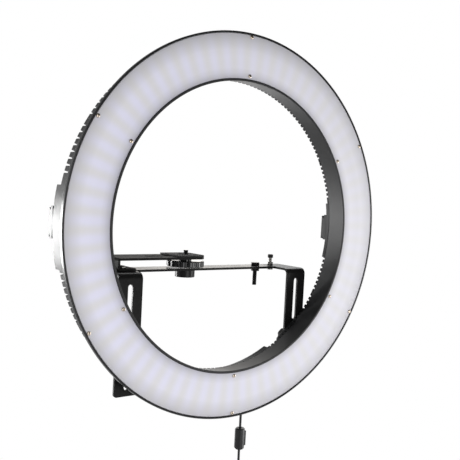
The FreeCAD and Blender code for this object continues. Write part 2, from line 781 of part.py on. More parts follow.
def make_control_box():
    body = new_body("control_box")
    outer = size.wall_radius - size.panel_drop
    inner = size.pod_inner_radius
    start = size.panel_start_turn
    end = size.panel_end_turn
    arc_plate(body, inner, outer, size.body_depth, size.panel_depth, start, end, 12)
    shafts = new_sketch(body, "XZ_Plane", lift=-size.panel_depth)
    for turn in (size.colour_turn, size.brightness_turn):
        x = size.control_circle * cosine(turn)
        z = size.control_circle * sine(turn)
        many_sided(shafts, x, z, size.knob_shaft_radius + size.shaft_gap, 12)
    cut_through(body, shafts, (size.knob_shaft_length + size.knob_gap) * 2)
    switch = new_sketch(body, turn=clock(size.switch_turn))
    half = size.switch_width / 2 - size.switch_lip + size.hole_gap
    rectangle(
        switch,
        size.control_circle - half,
        size.control_circle + half,
        size.panel_depth - size.switch_depth - size.hole_gap,
        size.panel_depth + size.switch_frame,
    )
    cut_through(body, switch, size.switch_length - (size.switch_lip - size.hole_gap) * 2)
    notch = new_sketch(body, "XZ_Plane", lift=-size.panel_depth)
    half = size.inlet_notch / 2
    rectangle(
        notch,
        size.cord_offset - half,
        size.cord_offset + half,
        -size.wall_radius - size.cover_wall,
        -size.inlet_drop,
    )
    cut_through(body, notch, (size.panel_depth - size.inlet_notch_start) * 2)
    jack = new_sketch(body, "XY_Plane", lift=-size.inlet_drop)
    radius = size.inlet_radius + size.hole_gap
    many_sided(jack, size.cord_offset, size.cord_depth, radius, 12)
    cut_through(body, jack, (size.inlet_length + size.hole_gap) * 2)
    place(body, ring_place)


def fluted(radius):
    """One flute of a knob of this radius, as angles and radii."""
    low = radius - size.knob_flute
    return [(-10.0, radius), (-5.0, low), (5.0, low), (10.0, radius)]


def make_knob(label, turn):
    """A fluted knob with its shaft; the shaft turns in a hole of the control box."""
    body = new_body(label)
    shaft = new_sketch(body, "XZ_Plane")
    many_sided(shaft, 0, 0, size.knob_shaft_radius - size.shaft_gap, 12)
    feature(body, "Pad", shaft, Length=size.knob_shaft_length)
    skirt = new_sketch(body, "XZ_Plane")
    many_sided(skirt, 0, 0, size.knob_radius - size.shaft_gap, 24)
    feature(body, "Pad", skirt, Length=size.knob_skirt, Reversed=True)
    grip = new_sketch(body, "XZ_Plane", lift=-size.knob_skirt)
    lobed(grip, int(size.knob_flutes.number), fluted(size.knob_top_radius))
    feature(body, "Pad", grip, Length=size.knob_height - size.knob_skirt, Reversed=True)
    low = size.panel_depth + size.knob_gap
    body.Placement = ring_spot(size.control_circle, turn, low)


def make_power_switch():
    """The switch: a frame that laps over the cut-out, and the rocker in its well."""
    spot = ring_spot(size.control_circle, size.switch_turn, size.panel_depth)
    length = size.switch_length
    width = size.switch_width
    lip = size.switch_lip
    frame = block(
        width, size.switch_frame, length, (-width / 2, 0, -length / 2)
    )
    tub = block(
        width - lip * 2,
        size.switch_depth,
        length - lip * 2,
        (lip - width / 2, -size.switch_depth, lip - length / 2),
    )
    well_width = size.rocker_width + size.rocker_gap * 2
    well_length = size.rocker_length + size.rocker_gap * 2
    pivot = size.switch_frame / 2
    well_depth = size.rocker_drop + size.rocker_gap * 5
    well = block(
        well_width,
        size.switch_frame + well_depth,
        well_length,
        (-well_width / 2, pivot - well_depth, -well_length / 2),
    )
    body = drilled(fused(frame, tub), well)
    body.Placement = spot
    node(body, "power_switch")
    rocker = new_body("power_rocker")
    sketch = new_sketch(rocker, "YZ_Plane")
    half = size.rocker_length / 2 - size.rocker_gap
    foot = half - size.rocker_drop
    outline(
        sketch,
        [
            (size.rocker_rise, -half),
            (size.rocker_dip, 0),
            (size.rocker_rise, half),
            (-size.rocker_drop, foot),
            (-size.rocker_drop, -foot),
        ],
    )
    feature(rocker, "Pad", sketch, Length=size.rocker_width, Midplane=True)
    tilt = Rotation(Vector(1, 0, 0), size.rocker_tilt.number)
    pivot_spot = ring_spot(
        size.control_circle, size.switch_turn, size.panel_depth + pivot, tilt
    )
    rocker.Placement = pivot_spot


def make_inlet():
    """The socket for the plug's barrel, with its centre pin; it opens downwards."""
    low = -size.inlet_flange
    flange = prism(12, size.inlet_flange_radius, size.inlet_flange, (0, 0, low))
    shell = prism(12, size.inlet_radius, size.inlet_length)
    bore = prism(
        12,
        (size.barrel_radius + size.shaft_gap) / math.cos(math.pi / 12),
        size.barrel_length + size.inlet_flange,
        (0, 0, low),
    )
    pin = prism(6, size.pin_radius, size.barrel_length, (0, 0, size.edge_gap))
    inlet = fused(drilled(fused(flange, shell), bore), pin)
    where = (cord_x, cord_y, size.ring_rise - size.inlet_drop)
    node(place(inlet, where), "dc_inlet")


# Battery plates: one on each pod, with undercut rails for a slide-on camcorder battery,
# three contacts and a sprung latch in a well at the inner end.


def plate_section(sketch):
    """The rail section, drawn across the plate with its back face at zero depth."""
    half = size.plate_width / 2
    rail = half - size.plate_rail_inset
    neck = rail - size.plate_groove
    neck_top = size.plate_base + size.plate_neck
    top = neck_top + size.plate_rail
    outline(
        sketch,
        [
            (0, -half),
            (size.plate_base, -half),
            (size.plate_base, -neck),
            (neck_top, -neck),
            (neck_top, -rail),
            (top, -rail),
            (top, rail),
            (neck_top, rail),
            (neck_top, neck),
            (size.plate_base, neck),
            (size.plate_base, half),
            (0, half),
        ],
    )


def make_battery_plate(side, turn):
    reach = size.wall_radius - size.pod_inner_radius
    top = size.plate_base + size.plate_neck + size.plate_rail
    plate = new_body(f"battery_plate_{side}")
    section = new_sketch(plate, "YZ_Plane")
    plate_section(section)
    feature(plate, "Pad", section, Length=reach)
    well = new_sketch(plate, "XZ_Plane", lift=-top)
    half = size.latch_width / 2 + size.edge_gap
    rectangle(
        well,
        size.latch_inset - size.edge_gap,
        size.latch_inset + size.latch_length + size.edge_gap,
        -half,
        half,
    )
    cut_through(plate, well, size.latch_well * 2)
    base = ring_spot(size.pod_inner_radius, turn, size.pod_depth)
    plate.Placement = base
    latch = new_body(f"battery_latch_{side}")
    profile = new_sketch(latch, "XY_Plane")
    low = top - size.latch_well + size.latch_travel + size.edge_gap
    start = size.latch_inset
    end = start + size.latch_length
    proud = low + size.latch_height
    outline(
        profile,
        [(start, low), (end, low), (end, proud - size.edge_gap * 4), (start, proud)],
    )
    feature(latch, "Pad", profile, Length=size.latch_width, Midplane=True)
    latch.Placement = base
    doc.recompute()
    strip = block(
        size.contact_length,
        size.contact_height,
        size.contact_width,
        (0, 0, -size.contact_width / 2),
    )
    places = []
    for step in (-1, 0, 1):
        x = reach.number - size.contact_length.number * 1.5
        z = step * size.contact_pitch.number
        places.append(base.multiply(Placement(Vector(x, top.number, z), Rotation())))
    copies(f"battery_contacts_{side}", strip, places)


# Boards behind the floor: each is an arc with its tall parts, on feet that stand on the
# floor of the front housing.


def make_driver_board(label, middle, sweep, parts):
    inner = size.board_inner_radius + size.hole_rim_width
    outer = size.board_outer_radius - size.hole_rim_width
    low = floor_back + size.floor
    top = low + size.board_thickness
    centre = (inner + outer) / 2
    body = new_body(label)
    start = middle - sweep / 2
    arc_plate(body, inner, outer, low, top, start, start + sweep, 4)
    for shift, width, part_sweep, height in parts:
        start = middle + shift - part_sweep / 2
        end = start + part_sweep
        high = top + height
        arc_plate(body, centre - width / 2, centre + width / 2, low, high, start, end, 1)
    for shift in (-sweep * 0.4, sweep * 0.4):
        start = middle + shift - 0.5
        half = size.floor
        arc_plate(body, centre - half, centre + half, floor_back, top, start, start + 1.0, 1)
    place(body, ring_place)


def make_cover_fasteners():
    sweep = 360.0 / int(size.covers.number)
    length = cover_inside - floor_back
    standoff = hexagon(size.standoff_flats, length, (0, length, 0), Rotation(Vector(1, 0, 0), 90))
    pattern = screw(
        size.cover_head_radius,
        size.cover_head_height,
        size.cover_screw_radius,
        size.cover_wall + size.edge_gap,
    )
    posts = []
    screws = []
    back_to_front = Rotation(Vector(1, 0, 0), 180)
    for index in range(len(COVERS)):
        for side in (-1, 1):
            turn = sweep * index + side * size.cover_screw_turn.number
            posts.append(ring_spot(size.cover_screw_circle, turn, floor_back))
            screws.append(
                ring_spot(size.cover_screw_circle, turn, size.body_depth, back_to_front)
            )
    copies("cover_standoffs", standoff, posts)
    copies("cover_screws", pattern, screws)


# Leg clamps: a pad on the ring's back, a bolt through floor, cover, pad and leg slot, and
# behind the leg a washer and a lobed knob.


def make_leg_clamps():
    pad_back = size.body_depth + size.pad_thickness
    bolts = []
    washers = []
    head = prism(12, size.stud_head_radius, size.stud_head, (0, 0, 0), TO_BACK)
    behind = pad_back + size.leg_gap + size.steel + size.leg_gap
    knob_start = behind + size.washer + size.edge_gap
    reach = knob_start + size.clamp_height + size.stud_end - floor_back
    shank = prism(8, size.stud_radius, reach, (0, 0, 0), TO_BACK)
    bolt = fused(head, shank)
    hole = (size.stud_radius + size.hole_gap) / math.cos(math.pi / 8)
    ring = drilled(
        prism(16, size.washer_radius, size.washer, (0, 0, 0), TO_BACK),
        prism(8, hole, size.washer, (0, 0, 0), TO_BACK),
    )
    for side, turn in (("right", 360 - stud_turn), ("left", 180 + stud_turn)):
        bolts.append(ring_spot(stud_circle, turn, floor_back))
        washers.append(ring_spot(stud_circle, turn, behind))
        pad = new_body(f"leg_pad_{side}")
        sketch = new_sketch(pad, "XZ_Plane", lift=0)
        inner = bore_back - size.edge_gap - stud_circle
        outer = size.wall_radius - size.edge_gap - stud_circle
        rectangle(sketch, inner, outer, -size.pad_width / 2, size.pad_width / 2)
        many_sided(sketch, 0, 0, size.stud_radius + size.hole_gap, 8)
        feature(pad, "Pad", sketch, Length=size.pad_thickness, Reversed=True)
        pad.Placement = ring_spot(stud_circle, turn, size.body_depth)
        knob = new_body(f"clamp_knob_{side}")
        hub = new_sketch(knob, "XZ_Plane")
        many_sided(hub, 0, 0, size.clamp_hub_radius, 16)
        many_sided(hub, 0, 0, size.stud_radius + size.shaft_gap, 12)
        feature(knob, "Pad", hub, Length=size.clamp_hub, Reversed=True)
        head = new_sketch(knob, "XZ_Plane", lift=-size.clamp_hub)
        full = size.clamp_radius
        low = full - size.clamp_notch
        slope = low + size.clamp_notch / 3
        edge = [(-27, full), (-17, full), (-8, slope), (0, low), (8, slope), (17, full), (27, full)]
        lobed(head, int(size.clamp_lobes.number), edge)
        many_sided(head, 0, 0, size.stud_radius + size.shaft_gap, 12)
        feature(knob, "Pad", head, Length=size.clamp_height - size.clamp_hub, Reversed=True)
        knob.Placement = ring_spot(stud_circle, turn, knob_start)
    copies("clamp_bolts", bolt, bolts)
    copies("clamp_washers", ring, washers)


# Yoke: one strip of steel plate with a bar across the back, two arms that run forwards
# and two slotted legs that are folded down from them.


def make_yoke():
    body = new_body("yoke")
    bar_back = size.bar_width / 2
    bar_front = -bar_back
    inner = size.leg_offset - size.leg_width / 2
    outer = size.leg_offset + size.leg_width / 2
    bar_low = size.socket_height
    plan = new_sketch(body, "XY_Plane", lift=bar_low)
    outline(
        plan,
        [
            (-outer, leg_front),
            (-inner, leg_front),
            (-inner, bar_front),
            (inner, bar_front),
            (inner, leg_front),
            (outer, leg_front),
            (outer, bar_back),
            (-outer, bar_back),
        ],
    )
    feature(body, "Pad", plan, Length=size.steel)
    leg_low = bar_top - size.leg_length
    for side in (-1, 1):
        face = new_sketch(body, "XZ_Plane", lift=-leg_back)
        rectangle(
            face,
            size.leg_offset * side - size.leg_width / 2,
            size.leg_offset * side + size.leg_width / 2,
            leg_low,
            bar_top,
        )
        feature(body, "Pad", face, Length=size.steel)
    slots = new_sketch(body, "XZ_Plane", lift=-leg_front)
    for side in (-1, 1):
        for drop in (size.upper_slot_drop, size.lower_slot_drop):
            upright_slot(
                slots,
                size.leg_offset * side,
                bar_top - drop,
                size.slot_length,
                size.slot_width,
            )
    cut_through(body, slots, size.steel * 3)
    holes = new_sketch(body, "XY_Plane", lift=bar_low)
    left = -size.camera_plate_left + size.foot_screw_inset
    foot_hole = size.foot_screw_radius + size.hole_gap
    for x, y, radius, sides in (
        (left, -size.foot_screw_front, foot_hole, 6),
        (left, size.foot_screw_back, foot_hole, 6),
        (size.peg_offset, 0, size.peg_radius + size.hole_gap, 8),
        (size.post_offset, size.post_back, size.post_radius + size.hole_gap, 8),
    ):
        many_sided(holes, x - size.socket_offset, y, radius, sides)
    cut_through(body, holes, size.steel * 3)
    corner = (leg_low + size.steel).number
    round_edges(
        body,
        size.leg_corner,
        lambda middle, along: abs(along.y) > 0.9 and middle.z < corner,
    )
    front = leg_front.number
    back = leg_back.number
    round_edges(
        body,
        size.bend_radius,
        lambda middle, along: abs(along.x) > 0.9
        and abs(middle.y - front) < 0.01
        and abs(middle.z - bar_top.number) < 0.01,
    )
    round_edges(
        body,
        size.bend_radius - size.steel,
        lambda middle, along: abs(along.x) > 0.9
        and abs(middle.y - back) < 0.01
        and abs(middle.z - bar_low.number) < 0.01,
    )
    place(body, (leg_centre_x, 0, 0))


# Stand socket: a turned boss welded under the bar, with a blind thread.


def make_stand_socket():
    boss = cylinder(size.socket_radius, size.socket_height)
    thread = cylinder(size.thread_radius, size.thread_depth)
    node(drilled(boss, thread), "stand_socket")


# Camera plate: a folded plate that stands on the left arm and reaches over the bar, with
# a slot for the camera screw, a rubber pad on top and two screws through its foot.


def make_camera_plate():
    top = size.camera_plate_top
    left = -size.camera_plate_left
    steel = size.steel
    body = new_body("camera_plate")
    side = new_sketch(body, "XZ_Plane")
    outline(
        side,
        [
            (size.camera_plate_right, top),
            (left, top),
            (left, bar_top),
            (left + size.camera_foot, bar_top),
            (left + size.camera_foot, bar_top + steel),
            (left + steel, bar_top + steel),
            (left + steel, top - steel),
            (size.camera_plate_right, top - steel),
        ],
    )
    feature(body, "Pad", side, Length=size.camera_plate_width, Midplane=True)
    slot = new_sketch(body, "XY_Plane", turn=Rotation(Vector(0, 0, 1), 90))
    slot_middle = (size.camera_slot_right - size.camera_slot_left) / 2
    slot_length = size.camera_slot_right + size.camera_slot_left
    upright_slot(slot, 0, -slot_middle, slot_length, size.camera_slot_width)
    slot.setExpression("AttachmentOffset.Base.z", top.text)
    cut_through(body, slot, steel * 3)
    holes = new_sketch(body, "XY_Plane", lift=bar_top)
    screw_x = left + size.foot_screw_inset
    for y in (-size.foot_screw_front, size.foot_screw_back):
        many_sided(holes, screw_x, y, size.foot_screw_radius + size.hole_gap, 6)
    cut_through(body, holes, steel * 3)
    plate_middle = (top - steel / 2).number
    reach = size.camera_plate_right.number
    round_edges(
        body,
        size.camera_plate_corner,
        lambda middle, along: abs(along.z) > 0.9
        and abs(middle.z - plate_middle) < 0.1
        and abs(middle.x - reach) < 0.1,
    )
    bend_low = bar_top.number
    bend_high = top.number
    round_edges(
        body,
        size.camera_bend,
        lambda middle, along: abs(along.y) > 0.9
        and abs(middle.x - left.number) < 0.01
        and min(abs(middle.z - bend_low), abs(middle.z - bend_high)) < 0.01,
    )
    place(body)


def make_rubber_pad():
    body = new_body("rubber_pad")
    sketch = new_sketch(body, "XY_Plane", lift=size.camera_plate_top)
    half = size.camera_plate_width / 2
    rectangle(sketch, -size.rubber_left, size.camera_plate_right, -half, half)
    feature(body, "Pad", sketch, Length=size.rubber)
    slot = new_sketch(body, "XY_Plane", turn=Rotation(Vector(0, 0, 1), 90))
    reach = size.rubber_left / 2
    slot_middle = (size.camera_slot_right - reach) / 2
    upright_slot(
        slot, 0, -slot_middle, size.camera_slot_right + reach, size.camera_slot_width
    )
    slot.setExpression("AttachmentOffset.Base.z", size.camera_plate_top.text)
    cut_through(body, slot, size.rubber * 3)
    reach_right = size.camera_plate_right.number
    round_edges(
        body,
        size.camera_plate_corner,
        lambda middle, along: abs(along.z) > 0.9 and abs(middle.x - reach_right) < 0.1,
    )
    place(body)


def make_foot_screws():
    length = size.steel * 2 + size.foot_nut
    head = prism(12, size.foot_head_radius, size.foot_head)
    shank = prism(6, size.foot_screw_radius, length, (0, 0, -length))
    pattern = fused(head, shank)
    nut = hexagon(size.foot_nut_flats, size.foot_nut, (0, 0, -size.foot_nut))
    x = -size.camera_plate_left + size.foot_screw_inset
    top = bar_top + size.steel
    screws = []
    nuts = []
    for y in (-size.foot_screw_front, size.foot_screw_back):
        screws.append(Placement(Vector(x.number, y.number, top.number), Rotation()))
        nuts.append(
            Placement(Vector(x.number, y.number, size.socket_height.number), Rotation())
        )
    copies("foot_screws", pattern, screws)
    copies("foot_nuts", nut, nuts)


# Camera screw: a scalloped thumb wheel between bar and camera plate, with a hub and the
# 1/4 inch screw that comes up through the slot.


def make_camera_screw():
    low = bar_top + size.wheel_gap
    hub_low = low + size.wheel_height
    hub_top = size.camera_plate_top - size.steel - size.edge_gap
    thread_low = size.camera_plate_top + size.rubber + size.camera_neck_end
    full = size.wheel_radius
    deep = full - size.scallop
    body = new_body("camera_screw")
    wheel = new_sketch(body, "XY_Plane", lift=low)
    edge = [(-9, full), (-4.5, deep), (4.5, deep), (9, full)]
    lobed(wheel, int(size.wheel_scallops.number), edge)
    feature(body, "Pad", wheel, Length=size.wheel_height)
    hub = new_sketch(body, "XY_Plane", lift=hub_low)
    many_sided(hub, 0, 0, size.wheel_hub_radius, 16)
    feature(body, "Pad", hub, Length=hub_top - hub_low)
    neck = new_sketch(body, "XY_Plane", lift=hub_top)
    many_sided(neck, 0, 0, size.camera_neck_radius, 8)
    feature(body, "Pad", neck, Length=thread_low - hub_top)
    thread = new_sketch(body, "XY_Plane", lift=thread_low)
    circle(thread, 0, 0, size.camera_thread_radius)
    feature(body, "Pad", thread, Length=size.camera_thread)
    place(body)


# Small bolts on the bar and the right arm that carry accessories.


def make_accessory_bolts():
    low = size.socket_height
    head = hexagon(size.peg_nut_flats, size.peg_nut, (0, 0, bar_top))
    thread_top = low - size.peg_nut - size.edge_gap
    shank = prism(8, size.peg_radius, bar_top - thread_top, (0, 0, thread_top))
    thread = cylinder(size.peg_radius, thread_top + size.peg_drop, (0, 0, -size.peg_drop))
    bolt = fused(head, shank, thread)
    node(place(bolt, (size.peg_offset, 0, 0)), "accessory_bolt")
    nut = hexagon(size.peg_nut_flats, size.peg_nut)
    node(place(nut, (size.peg_offset, 0, low - size.peg_nut)), "accessory_nut")
    head = hexagon(size.foot_nut_flats, size.foot_nut, (0, 0, low - size.foot_nut))
    shank = prism(8, size.post_radius, size.post_top - low - size.floor, (0, 0, low))
    post = fused(head, shank)
    node(place(post, (size.post_offset, size.post_back, 0)), "arm_bolt")
    nut = hexagon(size.foot_nut_flats, size.foot_nut)
    node(place(nut, (size.post_offset, size.post_back, bar_top)), "arm_nut")
    cap = prism(12, size.post_cap_radius, size.post_cap)
    cap_low = size.post_top - size.post_cap
    node(place(cap, (size.post_offset, size.post_back, cap_low)), "arm_cap")


# Cord: it hangs plumb from the plug through the ferrite. The length that is put away is
# a coil of four layers, tied, with the connector for the mains adapter at its end.


def spire(low, turn):
    """A four-sided strain relief that widens upwards; two of them make it eight-sided."""
    made = doc.addObject("Part::Wedge", "Wedge")
    top = size.relief_radius / math.sqrt(2)
    end = size.relief_end_radius / math.sqrt(2)
    bind(made, "Xmin", -end)
    bind(made, "Xmax", end)
    bind(made, "Zmin", -end)
    bind(made, "Zmax", end)
    bind(made, "X2min", -top)
    bind(made, "X2max", top)
    bind(made, "Z2min", -top)
    bind(made, "Z2max", top)
    bind(made, "Ymin", 0.0)
    bind(made, "Ymax", size.relief_length)
    return place(made, (0, 0, low), turn.multiply(Rotation(Vector(1, 0, 0), 90)))


def make_plug():
    grip_top = -size.inlet_flange - size.edge_gap
    grip_low = grip_top - size.plug_length
    tip = size.barrel_length - size.edge_gap * 2
    barrel = prism(12, size.barrel_radius - size.shaft_gap, tip - grip_top, (0, 0, grip_top))
    hollow = prism(6, size.pin_radius + size.edge_gap, tip)
    grip = prism(16, size.plug_radius, size.plug_length, (0, 0, grip_low))
    low = grip_low - size.relief_length
    relief = fused(spire(low, Rotation()), spire(low, Rotation(Vector(0, 0, 1), 45)))
    plug = fused(drilled(barrel, hollow), grip, relief)
    node(place(plug, (cord_x, cord_y, size.ring_rise - size.inlet_drop)), "dc_plug")


def half_round(outer, outer_steps, inner, inner_steps):
    """Half a ring in few sides, on the side of the first axis, as an outline."""
    points = []
    for index in range(outer_steps + 1):
        turn = 180.0 * index / outer_steps - 90
        points.append((outer * cosine(turn), outer * sine(turn)))
    for index in range(inner_steps + 1):
        turn = 90 - 180.0 * index / inner_steps
        points.append((inner * cosine(turn), inner * sine(turn)))
    return [(x + size.seam / 2, y) for x, y in points]


def make_ferrite_shell(label, turn, latched):
    """One half of the shell round the ferrite; the front half carries the latch."""
    bore = size.cord_diameter * 0.75
    body = new_body(label)
    ends = new_sketch(body, "XY_Plane")
    outline(ends, half_round(size.ferrite_radius - size.ferrite_end, 6, bore, 4))
    feature(body, "Pad", ends, Length=size.ferrite_length, Midplane=True)
    shell = new_sketch(body, "XY_Plane")
    outline(shell, half_round(size.ferrite_radius, 6, bore, 4))
    length = size.ferrite_length - size.ferrite_end * 2
    feature(body, "Pad", shell, Length=length, Midplane=True)
    room = new_sketch(body, "XY_Plane")
    outline(room, half_round(size.ferrite_core_radius, 6, size.seam, 2))
    feature(body, "Pocket", room, Length=size.ferrite_core_length, Midplane=True)
    if latched:
        latch = new_sketch(body, "XY_Plane")
        low = size.ferrite_radius - size.latch_bump
        high = size.ferrite_radius + size.latch_bump
        rectangle(latch, size.seam, size.latch_bump * 3, low, high)
        feature(body, "Pad", latch, Length=size.ferrite_core_length, Midplane=True)
    height = size.ring_rise - size.ferrite_drop
    place(body, (cord_x, cord_y, height), Rotation(Vector(0, 0, 1), turn))


def make_ferrite():
    make_ferrite_shell("ferrite_shell_front", -90, True)
    make_ferrite_shell("ferrite_shell_back", 90, False)
    bore = size.cord_diameter * 0.7
    length = size.ferrite_core_length - size.hole_gap * 2
    radius = size.ferrite_core_radius - size.hole_gap
    low = -length / 2
    hole = bore / math.cos(math.pi / 8)
    core = drilled(prism(12, radius, length, (0, 0, low)), prism(8, hole, length, (0, 0, low)))
    height = size.ring_rise - size.ferrite_drop
    node(place(core, (cord_x, cord_y, height)), "ferrite_core")


def tube_path(points):
    """Straight runs joined by tangent arcs, each as large as its two runs allow."""
    edges = []
    start = points[0]
    for before, corner, after in zip(points, points[1:], points[2:]):
        arriving = corner - before
        leaving = after - corner
        turn = arriving.getAngle(leaving)
        setback = 0.45 * min(arriving.Length, leaving.Length)
        radius = setback / math.tan(turn / 2)
        arriving.normalize()
        leaving.normalize()
        inwards = leaving - arriving
        inwards.normalize()
        first = corner - arriving * setback
        last = corner + leaving * setback
        rise = radius / math.cos(turn / 2) - radius
        edges.append(Part.LineSegment(start, first).toShape())
        edges.append(Part.Arc(first, corner + inwards * rise, last).toShape())
        print(f"cord arc radius {radius:.0f} mm")
        start = last
    edges.append(Part.LineSegment(start, points[-1]).toShape())
    return Part.Wire(edges)


def swept(path, radius):
    """A tube along a path; its section has few sides and the area of the round cord."""
    sides = CORD_SIDES
    start = path.Edges[0]
    where = start.valueAt(start.FirstParameter)
    turn = Rotation(Vector(0, 0, 1), start.tangentAt(start.FirstParameter))
    corner = radius * math.sqrt(2 * math.pi / sides / math.sin(2 * math.pi / sides))
    corners = []
    for index in range(sides + 1):
        angle = 2 * math.pi * (index + 0.5) / sides
        spoke = Vector(math.cos(angle) * corner, math.sin(angle) * corner, 0)
        corners.append(where + turn.multVec(spoke))
    section = Part.makePolygon(corners)
    return path.makePipeShell([section], True, False)


# The hanging stretch: points chosen by hand, from the strain relief to the coil.
cord_start = (
    cord_x.number,
    cord_y.number,
    size.ring_rise.number
    - size.inlet_drop.number
    - size.inlet_flange.number
    - size.edge_gap.number
    - size.plug_length.number
    - size.relief_length.number,
)
CORD_ROUTE = [(0.0, 0.0, 0.0), (0.0, 0.0, -54.2), (0.5, -0.2, -78.2), (0.5, -0.2, -104.2)]
cord_points = [Vector(*cord_start) + Vector(*point) for point in CORD_ROUTE]
CORD_SIDES = 4
COIL_LAYERS = 4
TURNS_IN_LAYER = 2


def half_turn(start, end, way):
    """Half a turn from one straight side of the coil to the other."""
    top = (start + end) / 2 + Vector(0, 0, way * start.distanceToPoint(end) / 2)
    return Part.Arc(start, top, end).toShape()


def climb(start, end):
    """Two arcs that lead along a straight side from one layer to the next."""
    run = start.z - end.z
    rise = end.y - start.y
    radius = (run * run + rise * rise) / (4 * rise)
    lean = math.asin(run / 2 / radius) / 2
    aside = Vector(0, radius * (1 - math.cos(lean)), -radius * math.sin(lean))
    middle = (start + end) / 2
    return [
        Part.Arc(start, start + aside, middle).toShape(),
        Part.Arc(middle, end - aside, end).toShape(),
    ]


def coil_path():
    """The coil as one wire of half turns and straight sides, and where it ends."""
    x, y, z = cord_points[-1]
    step = size.coil_step.number
    low = z - size.coil_straight.number
    radius = size.coil_radius.number
    middle = x - radius
    edges = []
    for layer in range(COIL_LAYERS):
        growth = step / 2 if layer % 2 else -step / 2
        for turn in range(TURNS_IN_LAYER):
            if layer == 0 or turn > 0:
                sides = Vector(middle + radius, y, z), Vector(middle + radius, y, low)
                edges.append(Part.LineSegment(*sides).toShape())
            right = Vector(middle + radius, y, low)
            left = Vector(middle - radius - growth, y, low)
            edges.append(half_turn(right, left, -1))
            left_top = Vector(left.x, y, z)
            edges.append(Part.LineSegment(left, left_top).toShape())
            radius += growth * 2
            edges.append(half_turn(left_top, Vector(middle + radius, y, z), 1))
        if layer < COIL_LAYERS - 1:
            start = Vector(middle + radius, y, z)
            edges.extend(climb(start, Vector(start.x, y + step, low)))
            y += step
    last = Vector(middle + radius, y, z)
    tail = last - Vector(0, 0, size.coil_tail.number)
    edges.append(Part.LineSegment(last, tail).toShape())
    return Part.Wire(edges), tail


def least_gap(path, diameter):
    """The least distance between turns that lie beside each other, less a diameter."""
    points = path.discretize(Distance=1.0)
    skip = int(diameter * 4)
    least = min(
        points[i].distanceToPoint(points[j])
        for i in range(len(points))
        for j in range(i + skip, len(points))
    )
    return least - diameter


def shape_node(label, shape):
    thing = doc.addObject("Part::Feature", label)
    thing.Shape = shape
    return node(thing, label)


def make_cord():
    radius = size.cord_diameter.number / 2
    drop = tube_path(cord_points)
    coil, tail = coil_path()
    print(f"least gap in the coil {least_gap(coil, 2 * radius):.2f} mm")
    path = Part.Wire(drop.Edges + coil.Edges)
    print(f"cord length {path.Length:.0f} mm")
    shape_node("supply_cord", swept(path, radius))
    where = (tail.x, tail.y, tail.z)
    length = size.connector_length
    shell = prism(16, size.connector_radius, length, (0, 0, -length))
    bore = prism(8, size.barrel_radius, size.barrel_length, (0, 0, -length))
    connector = drilled(shell, bore)
    node(place(connector, where), "adapter_connector")
    make_tie()


def make_tie():
    """A strap round the coil at its top, clear of the turns inside it."""
    x, y, z = cord_points[-1]
    radius = size.cord_diameter / 2
    centre_x = x - size.coil_radius
    gap = size.edge_gap
    top = z + size.coil_radius
    high = top - size.coil_step / 4 + radius + gap
    low = top - size.coil_step * (TURNS_IN_LAYER - 0.25) - radius - gap * 5
    front = y - radius - gap
    back = y + size.coil_step * (COIL_LAYERS - 1) + radius + gap
    wall = size.tie_wall
    half = size.tie_width / 2
    outside = block(
        size.tie_width,
        back - front + wall * 2,
        high - low + wall * 2,
        (centre_x - half, front - wall, low - wall),
    )
    inside = block(
        size.tie_width,
        back - front,
        high - low,
        (centre_x - half, front, low),
    )
    node(drilled(outside, inside), "cord_tie")


def make_everything():
    make_front_housing()
    make_diffuser()
    make_front_screws()
    make_led_boards()
    make_leds()
    make_rear_covers()
    make_cover_fasteners()
    make_control_box()
    make_knob("colour_knob", size.colour_turn)
    make_knob("brightness_knob", size.brightness_turn)
    make_power_switch()
    make_inlet()
    make_battery_plate("right", 0)
    make_battery_plate("left", 180)
    make_driver_board("driver_board", 287.0, 20.0, [(-4.5, 12.0, 3.6, 3.4), (3.5, 16.0, 5.0, 2.4)])
    make_driver_board("battery_board_right", 0.0, 16.0, [(0.0, 14.0, 4.0, 2.4)])
    make_driver_board("battery_board_left", 180.0, 16.0, [(0.0, 14.0, 4.0, 2.4)])
    make_leg_clamps()
    make_yoke()
    make_stand_socket()
    make_camera_plate()
    make_rubber_pad()
    make_foot_screws()
    make_camera_screw()
    make_accessory_bolts()
    make_plug()
    make_ferrite()
    make_cord()


def check_and_write():
    doc.recompute()
    for thing in doc.Objects:
        if "Invalid" in thing.State or "Error" in thing.State:
            raise RuntimeError(f"{thing.Label} failed: {thing.State}")
    os.makedirs("parts", exist_ok=True)
    for thing in nodes:
        shape = thing.Shape
        if shape.isNull() or not shape.isValid() or not shape.Solids:
            raise RuntimeError(f"{thing.Label} has no valid solid")
        shape.exportStep(f"parts/{thing.Label}.step")
        box = shape.BoundBox
        print(
            f"{thing.Label}: {len(shape.Solids)} solids, {shape.Volume / 1000:.2f} cm3, "
            f"x {box.XMin:.1f} {box.XMax:.1f}, y {box.YMin:.1f} {box.YMax:.1f}, "
            f"z {box.ZMin:.1f} {box.ZMax:.1f}"
        )


make_everything()
check_and_write()
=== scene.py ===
import bpy
import math
from mathutils import Matrix, Quaternion, Vector


